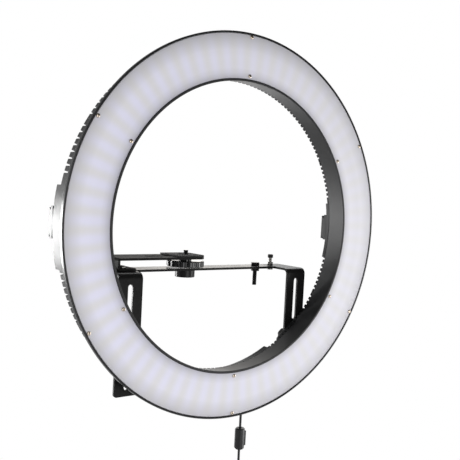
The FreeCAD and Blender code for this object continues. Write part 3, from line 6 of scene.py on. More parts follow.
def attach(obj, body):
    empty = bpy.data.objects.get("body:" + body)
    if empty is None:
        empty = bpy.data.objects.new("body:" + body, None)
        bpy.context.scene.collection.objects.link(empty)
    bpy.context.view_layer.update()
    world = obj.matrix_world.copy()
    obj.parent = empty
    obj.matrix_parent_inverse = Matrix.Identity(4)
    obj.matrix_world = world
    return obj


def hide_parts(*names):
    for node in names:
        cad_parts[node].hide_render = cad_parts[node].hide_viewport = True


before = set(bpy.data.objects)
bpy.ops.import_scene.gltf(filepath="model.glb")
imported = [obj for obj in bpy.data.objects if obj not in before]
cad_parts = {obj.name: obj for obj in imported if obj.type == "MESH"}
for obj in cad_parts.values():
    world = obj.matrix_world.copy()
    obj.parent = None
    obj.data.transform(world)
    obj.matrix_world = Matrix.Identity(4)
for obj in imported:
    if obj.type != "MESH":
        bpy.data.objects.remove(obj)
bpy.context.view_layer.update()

# Viewpoint: the lamp is seen from its left, from a little above its middle, with the
# small roll that the picture was taken with.

camera_place = Vector((-0.531634, -0.785425, 0.112170))
camera_aim = Vector((0.0071, -0.084, 0.0679))
camera_roll = math.radians(2.99)
eye = bpy.data.cameras.new("eye")
eye.sensor_width = 36.0
eye.lens = 56.2
camera = bpy.data.objects.new("camera", eye)
bpy.context.scene.collection.objects.link(camera)
gaze = (camera_aim - camera_place).to_track_quat("-Z", "Y")
camera.rotation_mode = "QUATERNION"
camera.rotation_quaternion = gaze @ Quaternion((0, 0, 1), camera_roll)
camera.location = camera_place
bpy.context.scene.camera = camera
bpy.context.scene.view_settings.view_transform = "Standard"

# Room: a white studio with a pale painted floor nearly a metre below the lamp. Gloss
# mirrors a white backdrop behind the lamp and a dim room in front of it. Large soft lamps
# hang in front, to both sides and behind.

RING_MIDDLE = Vector((0.026, -0.084, 0.071))
WHITE = (1.0, 1.0, 1.0)


class Reading:
    """What one wire of a finish carries, so that sums on it are written as sums."""

    def __init__(self, finish, socket):
        self.finish = finish
        self.socket = socket

    def worked(self, operation, *values):
        return self.finish.add("ShaderNodeMath", {"operation": operation}, values)

    def __add__(self, other):
        return self.worked("ADD", self, other)

    def __sub__(self, other):
        return self.worked("SUBTRACT", self, other)

    def __mul__(self, other):
        return self.worked("MULTIPLY", self, other)

    def __truediv__(self, other):
        return self.worked("DIVIDE", self, other)

    def __rsub__(self, other):
        return self.worked("SUBTRACT", other, self)

    def __rtruediv__(self, other):
        return self.worked("DIVIDE", other, self)

    __radd__ = __add__
    __rmul__ = __mul__

    def root(self):
        return self.worked("SQRT", self)

    def cosine(self):
        return self.worked("COSINE", self)

    def over(self, limit):
        return self.worked("GREATER_THAN", self, limit)

    def at_least(self, least):
        return self.worked("MAXIMUM", self, least)

    def bearing_from(self, other):
        return self.worked("ARCTAN2", self, other)


class Finish:
    """A finish made of nodes; add brings in a node, and feed sets the main shader."""

    def __init__(self, name, colour, **settings):
        self.material = bpy.data.materials.new(name)
        self.start(self.material)
        self.shader = self.nodes["Principled BSDF"]
        self.feed(Base_Color=colour, **settings)

    def start(self, owner):
        owner.use_nodes = True
        self.tree = owner.node_tree
        self.nodes = owner.node_tree.nodes

    def join(self, socket, value):
        if isinstance(value, Reading):
            self.tree.links.new(value.socket, socket)
        elif socket.type == "RGBA" and len(value) == 3:
            socket.default_value = (*value, 1.0)
        else:
            socket.default_value = value

    def add(self, kind, settings=None, values=(), output=0):
        node = self.nodes.new(kind)
        for name, value in (settings or {}).items():
            if name == "stops":
                ramp = node.color_ramp.elements
                while len(ramp) < len(value):
                    ramp.new(1.0)
                for stop, (position, shade) in zip(ramp, value):
                    stop.position = position
                    stop.color = (shade, shade, shade, 1.0)
            else:
                setattr(node, name, value)
        named = values.items() if isinstance(values, dict) else enumerate(values)
        for key, value in named:
            self.join(node.inputs[key], value)
        return Reading(self, node.outputs[output])

    def feed(self, **settings):
        for name, value in settings.items():
            self.join(self.shader.inputs[name.replace("_", " ")], value)

    def spot(self):
        return self.add("ShaderNodeTexCoord", output="Object")

    def split(self, vector):
        node = self.nodes.new("ShaderNodeSeparateXYZ")
        self.join(node.inputs[0], vector)
        return [Reading(self, socket) for socket in node.outputs]

    def noise(self, scale, detail):
        values = {"Vector": self.spot(), "Scale": scale, "Detail": detail}
        return self.add("ShaderNodeTexNoise", None, values)

    def mixed(self, share, first, second):
        """A colour between two others."""
        values = {0: share, 6: first, 7: second}
        return self.add("ShaderNodeMix", {"data_type": "RGBA"}, values, 2)

    def dimmed(self, colour, level):
        """A colour times a level, or times another colour."""
        settings = {"data_type": "RGBA", "blend_type": "MULTIPLY"}
        return self.add("ShaderNodeMix", settings, {0: 1.0, 6: colour, 7: level}, 2)

    def graded(self, value, stops):
        return self.add("ShaderNodeValToRGB", {"stops": stops}, {"Fac": value})

    def bump(self, height, strength, distance):
        values = {"Height": height, "Strength": strength, "Distance": distance}
        self.feed(Normal=self.add("ShaderNodeBump", None, values, "Normal"))


class Surround(Finish):
    """The same for the world and for what is only seen or mirrored."""

    def __init__(self, owner):
        self.start(owner)
        self.nodes.clear()

    def close(self, kind, shader):
        end = self.nodes.new(kind)
        self.tree.links.new(shader.socket, end.inputs["Surface"])


world = bpy.data.worlds.new("studio")
bpy.context.scene.world = world
sky = Surround(world)
_, northwards, height = sky.split(sky.add("ShaderNodeTexCoord", output="Generated"))
overhead = sky.graded(height * 0.5 + 0.5, [(0.0, 1.0), (0.56, 1.0), (0.72, 0.3), (1.0, 0.12)])
backdrop = sky.graded(
    northwards * 0.5 + 0.5, [(0.0, 0.14), (0.42, 0.16), (0.6, 1.0), (1.0, 1.0)]
)
lighting = sky.add("ShaderNodeBackground", None, {"Color": (0.46, 0.46, 0.47)})
mirrored = sky.add("ShaderNodeBackground", None, {"Color": sky.dimmed(overhead, backdrop)})
seen = sky.add("ShaderNodeBackground", None, {"Color": WHITE})
is_seen = sky.add("ShaderNodeLightPath", output="Is Camera Ray")
is_mirrored = sky.add("ShaderNodeLightPath", output="Is Glossy Ray")
unseen = sky.add("ShaderNodeMixShader", None, [is_mirrored, lighting, mirrored])
surroundings = sky.add("ShaderNodeMixShader", None, [is_seen, unseen, seen])
sky.close("ShaderNodeOutputWorld", surroundings)


def deselected():
    if bpy.context.object and bpy.context.object.mode != "OBJECT":
        bpy.ops.object.mode_set(mode="OBJECT")
    bpy.ops.object.select_all(action="DESELECT")


def dressed(piece, finish):
    """Gives a piece its finish, in place of what it had."""
    piece.data.materials.clear()
    piece.data.materials.append(finish.material)
    return piece


FLOOR_HEIGHT = -0.9
FLOOR_PAINT = (0.8, 0.8, 0.8)
FLOOR_FADE = 3.0
deselected()
bpy.ops.mesh.primitive_plane_add(size=14.0, location=(0.0, 2.0, FLOOR_HEIGHT))
floor = bpy.context.object
floor.name = "floor"
bpy.ops.object.transform_apply()
ground = Finish("floor_white", FLOOR_PAINT, Roughness=0.9)
paint = Surround(ground.material)
matt = paint.add("ShaderNodeBsdfDiffuse", None, {"Color": FLOOR_PAINT})
glow = paint.add("ShaderNodeEmission", None, {"Color": WHITE})
directly = paint.add("ShaderNodeLightPath", output="Is Camera Ray")
east, north, _ = paint.split(paint.spot())
away = (east * east + north * north).root()
fading = paint.graded(away / FLOOR_FADE, [(0.0, 0.8), (0.2, 0.84), (0.5, 1.0), (1.0, 1.0)])
floor_look = paint.add("ShaderNodeMixShader", None, [directly * fading, matt, glow])
paint.close("ShaderNodeOutputMaterial", floor_look)
dressed(floor, ground)


def soft_lamp(name, place, width, power, colour=WHITE, tall=None):
    """A large softbox that faces the middle of the ring."""
    light = bpy.data.lights.new(name, "AREA")
    light.size = width
    if tall:
        light.shape = "RECTANGLE"
        light.size_y = tall
    light.energy = power
    light.color = colour
    lamp = bpy.data.objects.new(name, light)
    bpy.context.scene.collection.objects.link(lamp)
    lamp.location = place
    lamp.rotation_mode = "QUATERNION"
    lamp.rotation_quaternion = (RING_MIDDLE - Vector(place)).to_track_quat("-Z", "Y")


soft_lamp("softbox_left", (-1.9, -0.8, 0.5), width=1.2, power=6.0)
soft_lamp("softbox_front", (0.0, -2.3, -0.1), width=1.4, power=13.0)
soft_lamp("softbox_right", (2.1, -1.1, -0.3), width=1.2, power=21.0)
soft_lamp("softbox_behind", (1.6, 1.5, 1.6), width=1.2, power=14.0)
soft_lamp("softbox_low", (-1.62, 3.4, -0.32), width=0.6, power=60.0, tall=1.1)
soft_lamp("softbox_rear", (1.7, 2.6, 0.4), width=1.0, power=3.0, colour=(1.0, 0.93, 0.84))
soft_lamp("softbox_floor", (1.5, 2.35, -0.5), width=0.8, power=5.0)

# Ring body: one black plastic moulding with an outer rim, a flange behind it, the side
# wall, the floor that carries the LED boards, and a bore wall that widens to the back. It
# is polished outside and fine-grained in the bore.


def chosen(piece):
    deselected()
    piece.select_set(True)
    bpy.context.view_layer.objects.active = piece
    return piece


def changed(piece, kind, **settings):
    """Adds a modifier, applies it and gives the piece back."""
    modifier = chosen(piece).modifiers.new(kind.lower(), kind)
    for name, value in settings.items():
        setattr(modifier, name, value)
    bpy.ops.object.modifier_apply(modifier=modifier.name)
    return piece


def cleaned(piece):
    """Merges doubled points and turns all faces outwards."""
    chosen(piece)
    bpy.ops.object.mode_set(mode="EDIT")
    bpy.ops.mesh.select_all(action="SELECT")
    bpy.ops.mesh.remove_doubles(threshold=0.00001)
    bpy.ops.mesh.normals_make_consistent(inside=False)
    bpy.ops.object.mode_set(mode="OBJECT")
    return piece


def section_drawn(name, points):
    """A ring of points from a circle, each moved to its place in a section."""
    deselected()
    bpy.ops.mesh.primitive_circle_add(vertices=len(points), radius=1.0, fill_type="NOTHING")
    piece = bpy.context.object
    piece.name = name
    for corner, place in zip(piece.data.vertices, points):
        corner.co = place
    return piece


def turned(name, section, place, axis="Y", steps=64):
    """A section of radius and length, spun round an axis through place.

    It is closed, unless it starts and ends on the axis."""
    if axis == "Y":
        piece = section_drawn(name, [(radius, length, 0.0) for radius, length in section])
    else:
        piece = section_drawn(name, [(radius, 0.0, length) for radius, length in section])
    if section[0][0] == 0.0 and section[-1][0] == 0.0:
        bpy.ops.object.mode_set(mode="EDIT")
        bpy.ops.mesh.select_mode(type="EDGE")
        bpy.ops.mesh.select_all(action="DESELECT")
        bpy.ops.object.mode_set(mode="OBJECT")
        ends = {0, len(section) - 1}
        for edge in piece.data.edges:
            edge.select = set(edge.vertices) == ends
        bpy.ops.object.mode_set(mode="EDIT")
        bpy.ops.mesh.delete(type="EDGE")
        bpy.ops.object.mode_set(mode="OBJECT")
    bpy.ops.object.mode_set(mode="EDIT")
    bpy.ops.mesh.select_mode(type="VERT")
    bpy.ops.mesh.select_all(action="SELECT")
    bpy.ops.mesh.spin(
        steps=steps,
        angle=2 * math.pi,
        center=(0, 0, 0),
        axis=(0, 1, 0) if axis == "Y" else (0, 0, 1),
        use_auto_merge=True,
    )
    bpy.ops.object.mode_set(mode="OBJECT")
    cleaned(piece)
    piece.location = place
    bpy.ops.object.transform_apply()
    return piece


def smoothed(piece, angle):
    """Smooth shading over every edge that bends by less than the angle."""
    chosen(piece)
    bpy.ops.object.shade_smooth_by_angle(angle=math.radians(angle))
    return piece


def softened(piece, width, segments=2, angle=25.0):
    """Breaks every sharp edge, and smooths what isn't sharp."""
    changed(
        piece,
        "BEVEL",
        width=width,
        segments=segments,
        limit_method="ANGLE",
        angle_limit=math.radians(angle),
    )
    smoothed(piece, 38.0)
    return changed(piece, "WEIGHTED_NORMAL", keep_sharp=True)


DRIFT_SCALE = 38.0
GLOSS_DRIFT = 0.14


def grained(name, colour, rough, grain, relief, spread=0.35, **settings):
    """A plain colour with a fine grain, whose tone and gloss drift a little."""
    finish = Finish(name, colour, Roughness=rough, **settings)
    drift = finish.noise(scale=DRIFT_SCALE, detail=4.0)
    darker = tuple(part * (1 - spread) for part in colour)
    paler = tuple(part * (1 + spread) for part in colour)
    finish.feed(Base_Color=finish.mixed(drift, darker, paler))
    finish.feed(Roughness=drift * GLOSS_DRIFT + (rough - GLOSS_DRIFT / 2))
    finish.bump(finish.noise(scale=grain, detail=3.0), strength=0.3, distance=relief)
    return finish


def done(piece, finish, body, *replaced):
    """Gives a finished piece its looks and its body, and hides the nodes that it stands for."""
    dressed(piece, finish)
    if replaced:
        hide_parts(*replaced)
    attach(piece, body)
    return piece


rim_radius, rim_inside, rim_depth = 0.2403, 0.2378, 0.0054
wall_radius, wall_inside, wall_depth = 0.2320, 0.2294, 0.0220
bore_front, bore_back, bore_outside = 0.1805, 0.1841, 0.1866
lip_radius, seat_radius, seat_depth = 0.1836, 0.1915, 0.0024
floor_depth, body_depth = 0.0200, 0.0313
ring_section = [
    (rim_inside, 0.0), (rim_radius, 0.0), (rim_radius, rim_depth), (wall_radius, rim_depth),
    (wall_radius, wall_depth), (bore_outside, wall_depth), (bore_outside, body_depth),
    (bore_back, body_depth), (bore_front, 0.0), (lip_radius, 0.0), (lip_radius, seat_depth),
    (seat_radius, seat_depth), (bore_outside, floor_depth), (wall_inside, floor_depth),
    (wall_inside, seat_depth), (rim_inside, seat_depth),
]
ring_body = turned("ring_body", ring_section, RING_MIDDLE, steps=256)
softened(ring_body, 0.0006, 3)

DEEP_BLACK = (0.010, 0.0102, 0.0108)
BAND_MIDDLE = 0.21
BORE_ROUGHNESS = 0.45
POLISH = 0.29
ring_black = grained(
    "ring_black", DEEP_BLACK, rough=0.3, grain=3200.0, relief=0.00004, Specular_IOR_Level=0.45
)
across, _, upward = ring_black.split(ring_black.spot())
across = across - RING_MIDDLE.x
upward = upward - RING_MIDDLE.z
outside = (across * across + upward * upward).root().over(BAND_MIDDLE)
patches = ring_black.noise(scale=DRIFT_SCALE, detail=4.0) * 0.1
ring_black.feed(Roughness=patches + BORE_ROUGHNESS - outside * POLISH)
done(ring_body, ring_black, "lamp", "front_housing")

# Posts, boards and LEDs inside the ring: turned brass posts, green boards with a sheen of
# lacquer, white LED boards that lie on the floor, and LEDs soldered to them, whose two
# kinds have a paler and a deeper yellow phosphor.

board_white = grained(
    "board_white", (0.74, 0.74, 0.72), rough=0.42, grain=900.0, relief=0.00003, spread=0.05
)
board_green = grained(
    "board_green", (0.015, 0.11, 0.05), rough=0.3, grain=800.0, relief=0.00005, spread=0.25
)
cool_led = grained(
    "phosphor_cool", (0.72, 0.66, 0.3), rough=0.4, grain=2500.0, relief=0.00003, spread=0.08
)
warm_led = grained(
    "phosphor_warm", (0.78, 0.5, 0.12), rough=0.4, grain=2500.0, relief=0.00003, spread=0.08
)
brassy = grained(
    "turned_brass", (0.72, 0.52, 0.23), rough=0.32, grain=1100.0, relief=0.00004, spread=0.15,
    Metallic=1.0,
)
for name in ("upper_right", "upper_left", "lower_left", "lower_right"):
    dressed(bpy.data.objects["led_board_" + name], board_white)
for name in ("driver_board", "battery_board_left", "battery_board_right"):
    dressed(bpy.data.objects[name], board_green)
dressed(bpy.data.objects["leds_cool"], cool_led)
dressed(bpy.data.objects["leds_warm"], warm_led)
dressed(bpy.data.objects["cover_standoffs"], brassy)

# Diffuser: an opal acrylic ring, cut flat, laid between the two rims and held by twelve
# low screws. The LEDs behind it show as 64 pairs of soft stripes, one cool and one warm,
# strongest on the left and in the middle of the band. Shade is painted in next to both rims.

LED_PAIRS = 64.0
FIRST_STRIPE = 0.0745
STRIPE_MIDDLE, STRIPE_REACH = 0.2095, 0.0235
WARM_STRIPE = (0.722, 0.712, 0.722)
COOL_STRIPE = (0.763, 0.758, 0.885)
BAND_START, BAND_WIDTH = 0.182, 0.06
opal = Finish("opal_acrylic", (0.8, 0.8, 0.8), Roughness=0.34, Specular_IOR_Level=0.3)
across, _, upward = opal.split(opal.spot())
sideways = across - RING_MIDDLE.x
rising = upward - RING_MIDDLE.z
reach = (sideways * sideways + rising * rising).root()
near_bore = (BAND_MIDDLE - reach).at_least(0.0)
near_rim = (reach - BAND_MIDDLE).at_least(0.0)

# The stripes fade to the right and away from the middle of the band, and the warm ones
# take a larger share to the right and by the outer rim.
from_middle = (reach - STRIPE_MIDDLE) / STRIPE_REACH
strength = (0.31 - sideways * 0.75) * (1.0 - from_middle * from_middle * 0.6)
cool_share = 0.46 - sideways - near_rim * (8.0 - sideways * 40.0)
wave = ((rising.bearing_from(sideways) - FIRST_STRIPE) * LED_PAIRS).cosine()
stripes = opal.mixed(wave * strength + cool_share, WARM_STRIPE, COOL_STRIPE)

# Painted shade and light: the band is painted a little darker at its top and next to both
# rims, where shade falls. On the right, what is next to a rim is painted lighter, and the
# top of the outer rim is painted darker still.
painted_rim_shade = opal.graded(
    (reach - BAND_START) / BAND_WIDTH,
    [
        (0.0, 0.66), (0.06, 0.72), (0.15, 0.9), (0.24, 1.0),
        (0.6, 1.0), (0.78, 0.86), (0.9, 0.74), (1.0, 0.68),
    ],
)
upper = rising.at_least(0.0)
rightmost = (sideways - 0.1).at_least(0.0)
painted_rim_light_and_shade = near_rim * rightmost * 20.0 - near_rim * upper * upper * 95.0
level = 1.0 - rising * 0.2 + near_bore * sideways * 18.0 + painted_rim_light_and_shade
# The painted rim shade and the painted light level are multiplied into the stripes' colour.
opal.feed(Base_Color=opal.dimmed(opal.dimmed(stripes, painted_rim_shade), level))
opal.bump(opal.noise(scale=420.0, detail=2.0), strength=0.06, distance=0.0001)
dressed(bpy.data.objects["diffuser"], opal)

# Screws: plated steel pan heads with a cross recess, modelled once for each size and set
# round the ring, each turned its own way. Those of the diffuser look to the front, those of
# the covers to the back, and two hold the camera plate's foot on the bar.


def ring_spot(radius, turn, depth):
    angle = math.radians(turn)
    return RING_MIDDLE + Vector((radius * math.cos(angle), depth, radius * math.sin(angle)))


def joined(name, pieces):
    """One object out of several."""
    deselected()
    for piece in pieces:
        piece.select_set(True)
    bpy.context.view_layer.objects.active = pieces[0]
    bpy.ops.object.join()
    pieces[0].name = name
    return pieces[0]


def cut_away(piece, cutter):
    """Cuts one shape out of a piece and throws the cutter away."""
    changed(piece, "BOOLEAN", object=cutter, operation="DIFFERENCE", solver="EXACT")
    bpy.data.objects.remove(cutter)


def pan_head(name, radius, height, shank, length):
    """A pan-head screw along Y whose head sits on y = 0 and looks to -Y."""
    section = [(0.0, -height)]
    for step in range(1, 5):
        angle = math.radians(22.5 * step)
        rise = 0.35 + 0.65 * math.cos(angle) ** 0.7
        section.append((radius * math.sin(angle) ** 0.6, -height * rise))
    section += [(radius, 0.0), (shank, 0.0), (shank, length), (0.0, length)]
    screw = turned(name, section, (0, 0, 0), steps=28)
    for turn in (0.0, 90.0):
        deselected()
        bpy.ops.mesh.primitive_cube_add(size=1.0, location=(0.0, -height, 0.0))
        recess = bpy.context.object
        recess.dimensions = (radius * 1.25, height * 1.1, radius * 0.26)
        bpy.ops.object.transform_apply(location=False)
        recess.rotation_euler = (0.0, math.radians(turn), 0.0)
        bpy.ops.object.transform_apply()
        cut_away(screw, recess)
    return smoothed(cleaned(screw), 40.0)


NEXT_TURN = 37.0


def scattered(name, pattern, spots, facing):
    """Copies of a pattern at all the spots, each turned a different way, as one piece."""
    copies = []
    for index, spot in enumerate(spots):
        copy = pattern.copy()
        copy.data = pattern.data.copy()
        bpy.context.scene.collection.objects.link(copy)
        spin = Matrix.Rotation(math.radians(NEXT_TURN * index % 90), 4, "Y")
        copy.matrix_world = Matrix.Translation(spot) @ facing @ spin
        chosen(copy)
        bpy.ops.object.transform_apply()
        copies.append(copy)
    heads = joined(name, copies)
    bpy.data.objects.remove(pattern)
    return heads


zinc = grained(
    "zinc_plate", (0.42, 0.41, 0.39), rough=0.3, grain=900.0, relief=0.00004, spread=0.12,
    Metallic=1.0,
)
nickel = grained(
    "nickel_plate", (0.62, 0.54, 0.45), rough=0.2, grain=900.0, relief=0.00004, spread=0.12,
    Metallic=1.0,
)
TO_FRONT = Matrix.Identity(4)
TO_BACK = Matrix.Rotation(math.pi, 4, "X")
UPWARDS = Matrix.Rotation(-math.pi / 2, 4, "X")
DIFFUSER_FACE = 0.0009
OUTER_SCREWS, INNER_SCREWS = 0.2354, 0.1876
COVER_FACE = 0.034
COVER_SCREWS = 0.208

front_spots = [
    ring_spot(circle, 30 + 60 * k, DIFFUSER_FACE)
    for circle in (OUTER_SCREWS, INNER_SCREWS)
    for k in range(6)
]
front_screw = pan_head("front_screw", radius=0.0023, height=0.0013, shank=0.00125, length=0.0036)
front_screws = scattered("front_screw_heads", front_screw, front_spots, TO_FRONT)
done(front_screws, nickel, "lamp", "diffuser_screws")

cover_spots = [
    ring_spot(COVER_SCREWS, 60 * k + side, COVER_FACE) for k in range(6) for side in (-27, 27)
]
cover_screw = pan_head("cover_screw", radius=0.0029, height=0.0017, shank=0.0015, length=0.0027)
cover_heads = scattered("cover_screw_heads", cover_screw, cover_spots, TO_BACK)
done(cover_heads, zinc, "lamp", "cover_screws")

foot_spots = [Vector((-0.101, -0.012, 0.0155)), Vector((-0.101, 0.006, 0.0155))]
foot_screw = pan_head("foot_screw", radius=0.0043, height=0.0026, shank=0.0025, length=0.01)
foot_heads = scattered("foot_screw_heads", foot_screw, foot_spots, UPWARDS)
done(foot_heads, zinc, "yoke", "foot_screws")

# Rear covers and battery pods: six moulded segments of black plastic with vent bars, each
# held by two screws, with a plate, a sprung latch and gold-plated contacts on both pods.
# Every moulded edge is broken, so that it catches a thin line of light.


def broken(node, width, segments=2, angle=25.0):
    """A copy of a CAD node with its flat faces whole and its edges broken."""
    source = bpy.data.objects[node]
    piece = source.copy()
    piece.data = source.data.copy()
    piece.name = node + "_worn"
    bpy.context.scene.collection.objects.link(piece)
    cleaned(piece)
    bpy.ops.object.mode_set(mode="EDIT")
    bpy.ops.mesh.select_all(action="SELECT")
    bpy.ops.mesh.dissolve_limited(angle_limit=math.radians(1.0))
    bpy.ops.object.mode_set(mode="OBJECT")
    return softened(piece, width, segments, angle)


moulded = grained(
    "moulded_black", (0.015, 0.0152, 0.0158), rough=0.34, grain=2600.0, relief=0.00008,
    Specular_IOR_Level=0.35,
)
satin = grained(
    "satin_black", DEEP_BLACK, rough=0.25, grain=3200.0, relief=0.00004, Specular_IOR_Level=0.45
)
golden = grained(
    "gold_plate", (0.7, 0.5, 0.2), rough=0.34, grain=1300.0, relief=0.00003, spread=0.08,
    Metallic=1.0,
)
for side in ("right", "upper_right", "upper_left", "left", "lower_left", "lower_right"):
    node = "rear_cover_" + side
    cover = done(broken(node, 0.0003, 1), moulded, "lamp", node)
for side in ("left", "right"):
    node = "battery_plate_" + side
    plate = done(broken(node, 0.0004, 2), moulded, "lamp", node)
    node = "battery_latch_" + side
    latch = done(broken(node, 0.0005, 3), satin, node, node)
    node = "leg_pad_" + side
    pad = done(broken(node, 0.0007, 3), moulded, "lamp", node)
    dressed(bpy.data.objects["battery_contacts_" + side], golden)

# Control box: a low box moulded in black plastic, on the lower part of the back. It has two
# ribbed rubber dials on shiny skirts, printed ticks round both, a rocker switch with its
# printed marks, and the round inlet that the plug goes up into.

rubbery = grained(
    "soft_rubber", (0.013, 0.0128, 0.0125), rough=0.6, grain=2100.0, relief=0.00016,
    Specular_IOR_Level=0.3,
)
glossy = grained(
    "gloss_black", (0.007, 0.007, 0.0075), rough=0.16, grain=700.0, relief=0.00002,
    Coat_Weight=0.3,
)
printed = grained(
    "white_print", (0.78, 0.78, 0.76), rough=0.5, grain=1500.0, relief=0.00002, spread=0.06
)
control_box = done(broken("control_box", 0.0008, 3), moulded, "lamp", "control_box")


PRINT_DEPTH = 0.00014


def printed_bar(name, middle, wide, tall, turn):
    """A thin printed bar on a face that looks to the back, long along Z before it turns."""
    deselected()
    bpy.ops.mesh.primitive_cube_add(size=1.0, location=(0.0, 0.0, 0.0))
    bar = bpy.context.object
    bar.name = name
    bar.scale = (wide, PRINT_DEPTH, tall)
    bpy.ops.object.transform_apply()
    bar.rotation_euler = (0.0, math.radians(turn), 0.0)
    bar.location = middle
    bpy.ops.object.transform_apply()
    return bar


def raised(name, outline, low, high, place, axis="Z"):
    """A filled outline across its axis, extruded from one height to another."""
    if axis == "Z":
        piece = section_drawn(name, [(x, y, low) for x, y in outline])
        rise = (0.0, 0.0, high - low)
    else:
        piece = section_drawn(name, [(x, low, y) for x, y in outline])
        rise = (0.0, high - low, 0.0)
    bpy.ops.object.mode_set(mode="EDIT")
    bpy.ops.mesh.select_all(action="SELECT")
    bpy.ops.mesh.edge_face_add()
    bpy.ops.mesh.extrude_region_move(TRANSFORM_OT_translate={"value": rise})
    bpy.ops.object.mode_set(mode="OBJECT")
    cleaned(piece)
    piece.location = place
    bpy.ops.object.transform_apply()
    return piece


def wavy(count, radius, dip, sharpness, points=12):
    """A round outline with so many scallops, each as deep as the dip."""
    outline = []
    for index in range(count * points):
        turn = 2 * math.pi * index / (count * points)
        crest = (0.5 + 0.5 * math.cos(turn * count)) ** sharpness
        out = radius - dip * crest
        outline.append((out * math.cos(turn), out * math.sin(turn)))
    return outline


DIALS = (("colour_knob", 0.0585, -0.1344), ("brightness_knob", 0.0833, -0.1289))
BOX_FACE = -0.03195
TICK_CIRCLE = 0.0118
ticks = []
for name, x, z in DIALS:
    for step in range(11):
        turn = -150 + 30 * step
        way = math.radians(turn)
        tall = 0.0018 if step % 5 == 0 else 0.0011
        spot = (x + TICK_CIRCLE * math.sin(way), BOX_FACE, z + TICK_CIRCLE * math.cos(way))
        ticks.append(printed_bar("tick", spot, wide=0.0004, tall=tall, turn=turn))
done(joined("dial_ticks", ticks), printed, "lamp")

GRIP_FOOT, GRIP_TOP = -0.0292, -0.0196
MARK_FACE = -0.01958
for name, x, z in DIALS:
    ribs = wavy(count=24, radius=0.0088, dip=0.0006, sharpness=1.0, points=6)
    grip = raised(name + "_grip", ribs, GRIP_FOOT, GRIP_TOP, (x, 0.0, z), "Y")
    softened(grip, 0.0006, 3, 50.0)
    skirt_section = [
        (0.0, -0.0396), (0.0028, -0.0396), (0.0028, -0.0316), (0.0099, -0.0316),
        (0.0099, -0.0296), (0.0094, -0.0291), (0.0, -0.0291),
    ]
    skirt = turned(name + "_skirt", skirt_section, (x, 0.0, z), steps=48)
    softened(skirt, 0.0003, 2)
    mark_spot = (x, MARK_FACE, z + 0.0052)
    mark = printed_bar(name + "_mark", mark_spot, wide=0.0009, tall=0.0056, turn=0.0)
    for piece, finish in ((grip, rubbery), (skirt, satin), (mark, printed)):
        done(piece, finish, name, name)

on_spot = (0.12056, BOX_FACE, -0.1147)
off_spot = (0.09732, BOX_FACE, -0.1248)
on_mark = printed_bar("on_mark", on_spot, wide=0.0005, tall=0.0026, turn=-23.5)
off_section = [(0.0009, -0.0001), (0.0013, -0.0001), (0.0013, 0.00009), (0.0009, 0.00009)]
off_mark = turned("off_mark", off_section, off_spot, steps=24)
done(joined("switch_marks", [on_mark, off_mark]), printed, "lamp")
switch_frame = done(broken("power_switch", 0.0005, 3), satin, "lamp", "power_switch")
rocker = done(broken("power_rocker", 0.0005, 3), glossy, "power_rocker", "power_rocker")
dressed(bpy.data.objects["dc_inlet"], satin)

# Clamps: behind each leg, a five-lobed knob of soft plastic is tightened on a zinc-plated
# steel bolt from the ring, with a steel washer under it. It holds the leg at its height.

for side in ("left", "right"):
    node = "clamp_knob_" + side
    knob = done(broken(node, 0.0014, 4, 30.0), rubbery, node, node)
for node in ("clamp_bolts", "clamp_washers"):
    piece = done(broken(node, 0.0003, 2), zinc, "lamp", node)

# Yoke, camera plate and stand socket: folded and turned steel in black powder coat, with
# the soft edges that a thick coat leaves. The plate's coat is matt, so that it grips.

coated = grained(
    "powder_coat", (0.0085, 0.0083, 0.0081), rough=0.28, grain=1900.0, relief=0.00008,
    Specular_IOR_Level=0.25,
)
matted = grained(
    "matt_powder_coat", (0.014, 0.0136, 0.0132), rough=0.55, grain=1900.0, relief=0.00008,
    Specular_IOR_Level=0.06,
)
yoke = done(broken("yoke", 0.0005, 3), coated, "yoke", "yoke")
camera_plate = done(broken("camera_plate", 0.0004, 3), matted, "yoke", "camera_plate")
socket = done(broken("stand_socket", 0.0007, 3), coated, "yoke", "stand_socket")

# Rubber pad: a sheet of rubber with fine grooves across it, glued on the camera plate
# round its slot.

GROOVES = 23
GROOVE_PITCH = 0.0018
FIRST_GROOVE = -0.0233
PAD_TOP = 0.0301
GROOVE_SIZE = (0.0006, 0.06, 0.0010)
rubber = broken("rubber_pad", 0.0004, 2)
cutters = []
for groove in range(GROOVES):
    deselected()
    spot = (FIRST_GROOVE + groove * GROOVE_PITCH, 0.0, PAD_TOP)
    bpy.ops.mesh.primitive_cube_add(size=1.0, location=spot)
    cutters.append(bpy.context.object)
    cutters[-1].scale = GROOVE_SIZE
    bpy.ops.object.transform_apply()
cut_away(rubber, joined("grooves", cutters))
done(rubber, rubbery, "yoke", "rubber_pad")

# Thumb wheel: turned black aluminium with twelve soft scallops, rounded rims, a hub, a
# neck and the short thread that goes up through the plate's slot. It mirrors the studio.

WHEEL_BOTTOM, WHEEL_TOP = 0.0140, 0.0220
CREST, ROOT = 0.0031, 0.0028
RIDGES = 7
RIDGE_PITCH = 0.00064
scallops = wavy(count=12, radius=0.025, dip=0.0022, sharpness=2.2)
wheel = raised("thumb_wheel", scallops, WHEEL_BOTTOM, WHEEL_TOP, (0, 0, 0))
softened(wheel, 0.0012, 4, 50.0)
stem_section = [
    (0.0, 0.0221), (0.008, 0.0221), (0.008, 0.0247), (0.0027, 0.0247), (0.0027, 0.0305),
]
for ridge in range(RIDGES):
    rise = ridge * RIDGE_PITCH
    stem_section += [(CREST, 0.0306 + rise), (ROOT, 0.0309 + rise)]
stem_section += [(CREST, 0.0352), (ROOT, 0.0355), (0.0, 0.0355)]
stem = smoothed(turned("thumb_stem", stem_section, (0, 0, 0), "Z", 48), 30.0)
thumb_screw = joined("thumb_screw", [wheel, stem])
done(thumb_screw, glossy, "camera_screw", "camera_screw")

